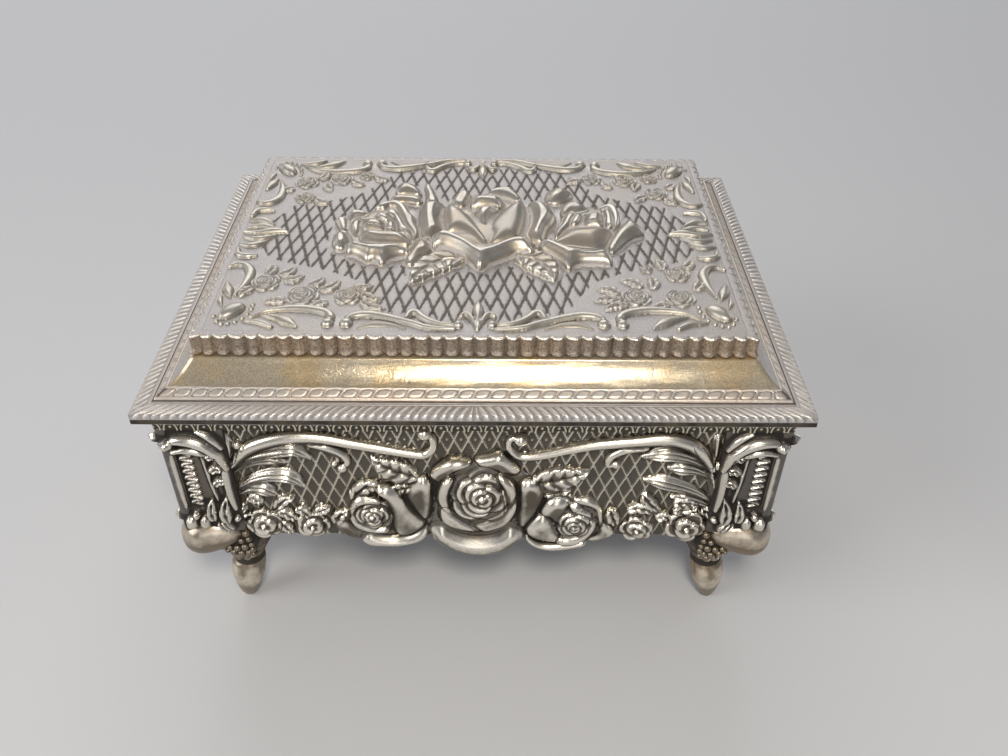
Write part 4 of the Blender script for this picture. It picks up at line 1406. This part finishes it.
# Petals: height, tilt, hollow, rim width and outline, the lower ones first.
PETALS = (
    (1, (0, 0), 0.15, 0.5, (-28.5, 3.3, -28.5, 4.9, -27.5, 5.3, -26.5, 4.9, -25.9, 1.7, -26.1, 0.1, -27, 0.1)),
    (1.25, (0, 0.05), 0.2, 0.5, (-26.3, 5.4, -26.3, 7, -25.4, 7.9, -23.8, 7.5, -22.5, 6.7, -22.7, 5, -24.3, 5, -25.8,
     4.6)),
    (1.5, (-0.05, 0.03), 0.35, 0.7, (-21.1, 8.8, -19.6, 10.1, -17.6, 11, -15.9, 10.6, -14.8, 8.9, -13.8, 6.4, -12.8,
     4.8, -12.5, 2.4, -11.4, -0.8, -11.9, -3.1, -13, -3.8, -13.6, -0.8, -14.8, 2.3, -15.9, 6, -16.9, 8, -18.2, 8.8,
     -19.3, 7.6, -21, 8)),
    (1.4, (0, 0), 0.1, 0.5, (-25.1, 2, -24.6, 3.2, -23.7, 3.7, -23.3, 0.5, -23.5, -2.6, -24.4, -1.5, -25.1, 0.5)),
    (1.9, (-0.06, 0.02), 0.3, 0.6, (-18.8, 4.8, -18.3, 6.5, -17.6, 7.1, -16.5, 6.1, -15.8, 4.5, -15, 2.5, -14.1, 0.5,
     -13.1, -1.1, -12.8, -3, -14.2, -2.2, -15.6, -1.9, -16.3, 1.3, -17, 3.2, -17.9, 3.6)),
    (1.9, (0, -0.05), 0.1, 0.5, (-18.2, 1.2, -17.6, 2.4, -16.8, 2.4, -16.3, -0.3, -16.3, -2.2, -17.9, -2.3)),
    (2.05, (0, -0.1), 0, 0.5, (-22.6, -1.7, -23.1, 1, -23, 3, -22.4, 3.4, -21.2, 3, -19.6, 2.6, -18.5, 2.2, -18.1,
     0.3, -18.1, -2.1, -20, -2.1)),
    (2.35, (0.05, -0.1), 0.25, 0.5, (-20.3, 2.7, -20.7, 4.3, -20.2, 5.1, -19, 4.7, -18, 3.5, -17.5, 1.9, -18.2, 1.1,
     -19.5, 1.9)),
    (1.75, (0, 0), 0.1, 0.8, (-22.9, -3, -23.2, -1.4, -22.7, -1, -21.2, -0.8, -19.2, -1.2, -16.8, -1.3, -14.9, -1.7,
     -13.4, -3.6, -12.8, -5.5, -13.9, -6.2, -15.8, -6.1, -18.7, -5.9, -21.1, -5.2, -22.5, -4.5)),
    (1.3, (0, 0), 0, 0.9, (-28, -4.8, -28.2, -2.5, -27.6, -1, -26.7, -0.6, -25.5, -2.1, -24.8, -4.7, -25.4, -6.2,
     -26.2, -7, -27.5, -6.2)),
    (1.9, (0, 0.05), 0, 1, (-25, -7.4, -25, -5.6, -24.1, -5.2, -22.9, -5.6, -20.9, -6.5, -18.6, -6.6, -16.4, -6.4,
     -14.8, -6.6, -13.4, -7.7, -12.9, -8.7, -14.6, -9.1, -16.2, -9.9, -17.2, -10.9, -17.9, -12, -18.5, -11, -19.7,
     -10.6, -20.6, -11, -22.1, -9.6, -23.7, -8.5, -24.6, -8.5)),
    (1, (0, -0.1), 0.1, 0.5, (-18.5, 13.7, -17.5, 14.6, -15.4, 14.6, -13.1, 14.2, -11.8, 12.5, -12.7, 11.2, -15.4, 12,
     -17.7, 12)),
    (1.35, (0, -0.05), 0.1, 0.5, (-17.7, 16.4, -17.5, 18.7, -16.3, 20.1, -14.6, 19.6, -12.9, 17.4, -12.3, 15.2, -13.4,
     14.7, -15.7, 15.1, -17.1, 15.1)),
    (1, (0, 0), 0.2, 0.5, (-11.8, 19.4, -11, 20.3, -10, 17.6, -8.9, 14, -8.6, 11.4, -10, 11, -11.1, 12.2, -11.3,
     15.7)),
    (1.1, (0.04, -0.03), 0.2, 0.6, (-13.2, -11.4, -13.5, -9.9, -13, -6.3, -12.4, -4.1, -11.3, -2.5, -9.9, -3.3, -8.8,
     -6.3, -9.4, -8.1, -10.9, -9.2, -11.9, -11, -12.5, -12.1)),
    (1.1, (0, 0), 0, 0.5, (13.6, 14.1, 14.3, 16.8, 16, 18.2, 18.1, 17.8, 19.3, 15.5, 18.3, 13.3, 16.6, 12, 14.5, 12)),
    (1.6, (0, 0.08), 0.4, 0.6, (16.6, 8.3, 17.3, 10.5, 18.6, 11.3, 20, 11.4, 21.4, 10.1, 22, 8, 20.3, 6.7, 18.3, 6.7,
     16.9, 6.3)),
    (1.55, (0.1, 0), 0.25, 0.5, (23.9, 8.8, 25, 9.7, 26.7, 10.1, 27.8, 8.9, 28.2, 6.8, 28.1, 3.5, 27.3, 1.1, 26.3,
     -0.9, 26.5, 3.5, 26.4, 6.7, 25.8, 8.4)),
    (1.9, (0.1, 0), 0.2, 0.5, (25.2, 7.7, 26, 7.3, 26.4, 5.2, 26.4, 2.8, 26.2, 0.4, 25, 0.8, 25.2, 4.8)),
    (2.2, (0, -0.06), 0.15, 0.5, (20.7, 1.4, 20.9, 3.8, 21.4, 5.4, 22.7, 5.8, 24.1, 5.9, 25, 4.6, 24.7, 1.8, 24.4,
     0.2, 22.6, 0.2, 21, 0.2)),
    (1.6, (-0.08, 0), 0.2, 0.5, (16.5, 2.4, 17.2, 5.2, 18.1, 6.5, 19.1, 6.5, 19.6, 4.8, 18.7, 2.4, 17.1, 0, 15.9,
     -1.9, 15, -2.7, 15.4, -0.4)),
    (1.8, (-0.08, 0), 0.15, 0.5, (18.2, 2, 19.5, 5.7, 20.3, 6.1, 20.6, 4.5, 20, 2.1, 18.8, 0.9)),
    (1.75, (0, 0), 0.1, 0.8, (14.4, -4.8, 15.4, -2.9, 16.9, -0.2, 18.7, 0.7, 20.9, 1.1, 23.3, 1.1, 25.2, 0.7, 26.1,
     -0.8, 25.7, -3.1, 24.5, -5.4, 22.8, -6.9, 20.4, -6.9, 17.6, -6.2, 15.7, -5.5)),
    (1.9, (0, 0.05), 0, 1, (11.8, -5.5, 12.5, -4, 13.8, -4.4, 15.3, -5.5, 17.1, -6.9, 19.3, -8, 21.6, -8.3, 23.5,
     -7.8, 24.6, -7.9, 25.3, -9.4, 25.1, -11.5, 24.5, -11.5, 22.8, -11.2, 21, -11.2, 19.1, -11.4, 17.7, -12.3, 17.1,
     -13.4, 16.4, -12.3, 15.4, -10.9, 14, -9.2, 12.7, -7.7, 12, -7)),
    (1.55, (-0.06, 0.1), 0.15, 0.5, (25, -6.2, 25.7, -3.5, 26.9, -0.5, 28.3, 1.9, 29.7, 3.9, 30.7, 3.5, 31.7, 2, 32.5,
     0.4, 32.2, -0.8, 30.3, -2, 28.5, -3.9, 26.9, -6.1, 25.6, -7.6)),
    (2.1, (0, 0.08), 0.6, 0.7, (-5.8, 9.8, -5.5, 12, -4.6, 14.2, -3.1, 15.1, -2.1, 14.2, -1.6, 12.5, -2.2, 10.3, -2.9,
     8.6, -4.3, 8.2)),
    (2.2, (0.02, 0.1), 0.5, 0.7, (1.3, 13.6, 2.1, 15.4, 4.2, 16.3, 6.3, 16.4, 7.7, 14.6, 8.7, 12.4, 9.1, 9.8, 7.2,
     10.7, 5.2, 11.9, 3.1, 12.8)),
    (1.85, (-0.05, 0.02), 0.1, 0.8, (-12.1, 9.5, -11.3, 9.9, -9.3, 10.6, -7.9, 10.4, -7, 9.5, -7.5, 7.4, -7.6, 4.1,
     -7, 0.9, -6.3, -1, -7.5, -1.8, -8.6, -3, -9.7, -3.7, -10.9, -2.6, -11.5, 0.1, -12, 4.9)),
    (1.85, (0.05, 0.02), 0.1, 0.8, (9.9, 10.2, 10.8, 11.5, 12.4, 11.1, 13.8, 9.8, 14.9, 7.3, 15.4, 4.8, 14.7, 2.4,
     13.6, 0.4, 13.1, -1.9, 12.5, -4.2, 11.1, -4.2, 10, -3.5, 9.4, -1.6, 10.3, 1.9, 10.6, 5.6, 10.3, 8.5)),
    (2.85, (0, -0.05), 0.3, 0.7, (-1.7, 7.3, -1.9, 9.8, -1.2, 11.1, 0.9, 11.6, 2.9, 11.6, 4.6, 10.8, 5, 9.1, 4.2, 6.1,
     2.2, 6.9, 0.1, 7.3)),
    (2.65, (0, -0.03), 0.1, 0.7, (-1.2, 5.2, -0.3, 6.9, 1.2, 7.3, 2.8, 6.9, 4.2, 6.1, 3.6, 4, 2.2, 1.6, 1.7, -1.1,
     0.3, 0.4, -1, 2.8)),
    (2.5, (-0.05, 0.05), 0.45, 0.8, (-6.3, -2.1, -7, 1.5, -7.2, 5.1, -6.7, 8, -6, 8.8, -4.9, 8, -3.5, 6.4, -1.8, 4.3,
     -0.5, 1.9, 0.7, -0.8, 1.7, -3.5, 2.1, -5.4, 1.5, -5.9, 0.4, -5.4, -1.6, -3.5, -3.5, -2.4, -5.1, -2)),
    (2.5, (0.05, 0.05), 0.45, 0.8, (2.1, -5.4, 2.3, -3.1, 1.7, -0.8, 2.2, 2, 3.6, 4.8, 5.2, 7.3, 6.6, 9, 7.9, 10.7,
     8.5, 11.2, 9.1, 9.5, 9.4, 6.5, 9.3, 3.3, 8.9, 0.1, 8.2, -2.6, 7.5, -3.8, 5.7, -4.6, 3.8, -5.3)),
    (2.4, (0, 0.05), 0, 1, (-8.8, -5.3, -8.2, -2.9, -6.8, -2.5, -5.1, -3, -3.1, -4.5, -1.3, -6, 0, -7.6, 1, -8.3, 2.7,
     -7.4, 4.6, -5.9, 6.5, -4.8, 8.4, -4.6, 9.7, -5.5, 10.4, -7.3, 10.4, -8.8, 8.7, -8.4, 6.5, -8.8, 4.2, -10.3, 2.3,
     -11.7, 0.5, -13.5, -0.6, -12.1, -2.2, -10, -4.1, -8.2, -6.1, -6.8, -7.6, -6.4, -8.5, -6.8)),
)
# Outlines of the low mounds that fill the gaps under the petals.
UNDERLAYS = (
    (-25.6, -3.4, -27, 4, -23.6, 7.4, -18, 10, -13.4, 6, -12.6, -4, -13.6, -7.6, -18, -9.8, -23.6, -7),
    (13, -5.4, 14.6, -2.6, 16.2, 4, 17.4, 9.8, 22, 10.8, 27, 9, 27.6, 2, 25.4, -3, 24.2, -9.4, 18, -10.4, 15, -8),
    (-8.8, -6.6, -12, -2, -12.2, 9, -6, 11, -3, 15, 6, 16.2, 9.6, 11, 14, 10, 14.6, 4.6, 12, -3, 9.4, -7, 0.5, -11.4),
)


def panel_ground(x, y):
    """The flat panel with the three low swells of the casting under the bouquet."""
    return np.maximum(swells(BOUQUET_SWELLS, -0.1)(x, y), 0)


bouquet = Relief(-29.6, 33.4, -19.6, 21.2, 0.165, panel_ground)
for outline in UNDERLAYS:
    bouquet.petal(outline, 1.15, (0, 0), -0.25, edge=3.0, groove=0)
for path in (LEFT_LEAF, RIGHT_LEAF):
    bouquet.leaf(path, 3.4, 1.3, veins=5, teeth=0.12, slant=0.55)
for height, tilt, hollow, rim, outline in PETALS:
    bouquet.petal(outline, 1.12 * height, tilt, 1.1 * hollow - 0.85, edge=3.0 * rim, groove=0.45, grow=0.22)
bouquet_metal = plated_metal("bouquet_plating", (0.56, 0.535, 0.525), (0.40, 0.375, 0.34), (0.46, 0.39, 0.31),
                             (0.56, 0.53, 0.485), recess_edge=-0.3, high_edge=0.35, warm_share=0.7,
                             roughness=0.4, shine=0.3, metallic=0.85)
panel_piece("lid_rose_bouquet", bouquet, bouquet_metal)


# ---- Panel lattice --------------------------------------------------------
# Round the bouquet the flat top of the lid is cut with fine slanting grooves
# that cross in long diamonds. The plating is worn matt grey between them.

PANEL_HALF_X, PANEL_HALF_Y = 46.5, 32.6
CUT_WIDE, CUT_TALL, CUT_DEPTH = 2.5, 8.6, 0.17
CUT_EDGE = (13.0, 30.6, 16.4, 27.8, 18.6, 22.5, 22.6, 16.8, 28.0, 13.8, 34.6, 11.6, 39.5, 9.8, 42.5, 5.0)


def covered(part, x, y):
    """The height of a piece of the panel over each place, and nought beyond its patch."""
    inside = np.abs(x - part.x.mean()) < np.ptp(part.x) / 2, np.abs(y - part.y.mean()) < np.ptp(part.y) / 2
    return part.at(x, y) * inside[0] * inside[1]


panel = Relief(-PANEL_HALF_X, PANEL_HALF_X, -PANEL_HALF_Y, PANEL_HALF_Y, 0.33, panel_ground)
quarter = pairs(CUT_EDGE)
behind = np.where((quarter[:, :1] > 12) & (quarter[:, :1] < 38), (1.15, 1), 1) * quarter
edge = np.concatenate([behind, quarter[::-1] * (1, -1), quarter * (-1, -1), behind[::-1] * (-1, 1)])
netted = smooth_step(outline_depth(panel.x, panel.y, edge), -0.1, 0.9)
cuts = netted * smooth_step(diamond_lines(panel.x, panel.y, CUT_WIDE, CUT_TALL, 0.48), 0.0, 1.0)
panel.h -= CUT_DEPTH * cuts
around = np.maximum.reduce([panel.h, *(covered(part, panel.x, panel.y) for part in (border, sprays, bouquet))])
frosted = np.clip((softened(around, 4) - panel.ground - 0.1) / 0.5, 0, 0.7)
make_piece("lid_panel_lattice", "lid",
           slab(*panel_sheet(panel, 0.8), frosted - 0.22 * netted - 0.52 * cuts), lid_metal)


# ---- Lid board ------------------------------------------------------------
# A second dark card is glued into the lid's hollow and carries the lid's pad.
# It is the same card as the floor board.

dress("lid_board", card)


# ---- Lid pad --------------------------------------------------------------
# A thinner velvet pad under the lid, made like the floor pad. It is glued to
# the lid board with its crown hanging down.

lid_cushion = stuffed("velvet_lid_pad", "lid", 47.2, 33.3, 59.6, 57.5, 1.0)
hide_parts("lid_pad")


# ---- Floor, light and camera ----------------------------------------------
# The box stands on a pale matt paper that curves up far behind it. Six soft
# lamps stand round it, a small warm one just in front of the lid, and the
# surroundings are plain and cool.

bearing = np.linspace(0, 2 * math.pi, 65)[:-1]
away = np.concatenate([[0.0], np.linspace(0.1, 1.0, 10), np.linspace(1.1, 2.6, 16)])[:, None]
# flat inside a metre, then its height grows as the square of the distance past it
height = 0.45 * np.maximum(away - 1.0, 0) ** 2
points = placed(away * np.cos(bearing), away * np.sin(bearing), height)
index = np.arange(points[..., 0].size).reshape(points.shape[:2])
index = np.concatenate([index, index[:, :1]], 1)
mesh = bpy.data.meshes.new("floor")
mesh.from_pydata(points.reshape(-1, 3).tolist(), [], corners(index)[..., [0, 3, 2, 1]].reshape(-1, 4).tolist())
mesh.shade_smooth()
floor = bpy.data.objects.new("floor", mesh)
scene = bpy.context.scene
scene.collection.objects.link(floor)
paper, bench, shader = new_finish("pale_paper")
bench.feed(shader, {"Base Color": (0.62, 0.63, 0.66, 1.0), "Roughness": 0.85})
mesh.materials.append(paper)

scene.view_settings.view_transform = "Standard"
world = bpy.data.worlds.new("studio")
world.use_nodes = True
world.node_tree.nodes["Background"].inputs["Color"].default_value = (0.93, 0.95, 1.0, 1.0)
world.node_tree.nodes["Background"].inputs["Strength"].default_value = 0.22
scene.world = world


def soft_light(name, place, size, power, aim=(0.0, 0.0, 0.05), colour=(1.0, 0.98, 0.95)):
    """A square area lamp at place, turned to shine at aim. Places are in metres."""
    lamp = bpy.data.lights.new(name, "AREA")
    lamp.shape, lamp.size, lamp.energy, lamp.color = "SQUARE", size, power, colour
    light = bpy.data.objects.new(name, lamp)
    scene.collection.objects.link(light)
    light.location = place
    direction = Vector(aim) - Vector(place)
    light.rotation_euler = direction.to_track_quat("-Z", "Y").to_euler()


soft_light("back_softbox", (-0.1, 0.85, 0.75), 0.9, 5.0)
soft_light("front_lamp", (0.0164, -0.222, 0.296), 0.06, 0.5, (0.0, -0.02, 0.06), (1.0, 0.92, 0.78))
soft_light("left_fill", (-0.8, -0.35, 0.5), 0.6, 4.0)
soft_light("front_softbox", (0.0, -1.4, 0.5), 0.8, 2.4)
soft_light("left_edge", (-1.1, 0.8, 0.3), 0.7, 1.6)
soft_light("right_edge", (1.1, 0.8, 0.3), 0.7, 2.0)

camera_data = bpy.data.cameras.new("camera")
camera = bpy.data.objects.new("camera", camera_data)
scene.collection.objects.link(camera)
camera_data.sensor_width, camera_data.lens = 36.0, 32.57
pitch, yaw, roll = (math.radians(angle) for angle in (39.064, 0.526, 0.621))
ahead = np.array([math.sin(yaw) * math.cos(pitch), math.cos(yaw) * math.cos(pitch), -math.sin(pitch)])
right = np.array([math.cos(yaw), -math.sin(yaw), 0.0])
up = np.cross(right, ahead)
tilted = (math.cos(roll) * right + math.sin(roll) * up, math.cos(roll) * up - math.sin(roll) * right, -ahead)
camera.matrix_world = Matrix([[*(float(axis[k]) for axis in tilted), place]
                                 for k, place in enumerate((0.003848, -0.15743, 0.158615))] + [[0, 0, 0, 1]])
scene.camera = camera
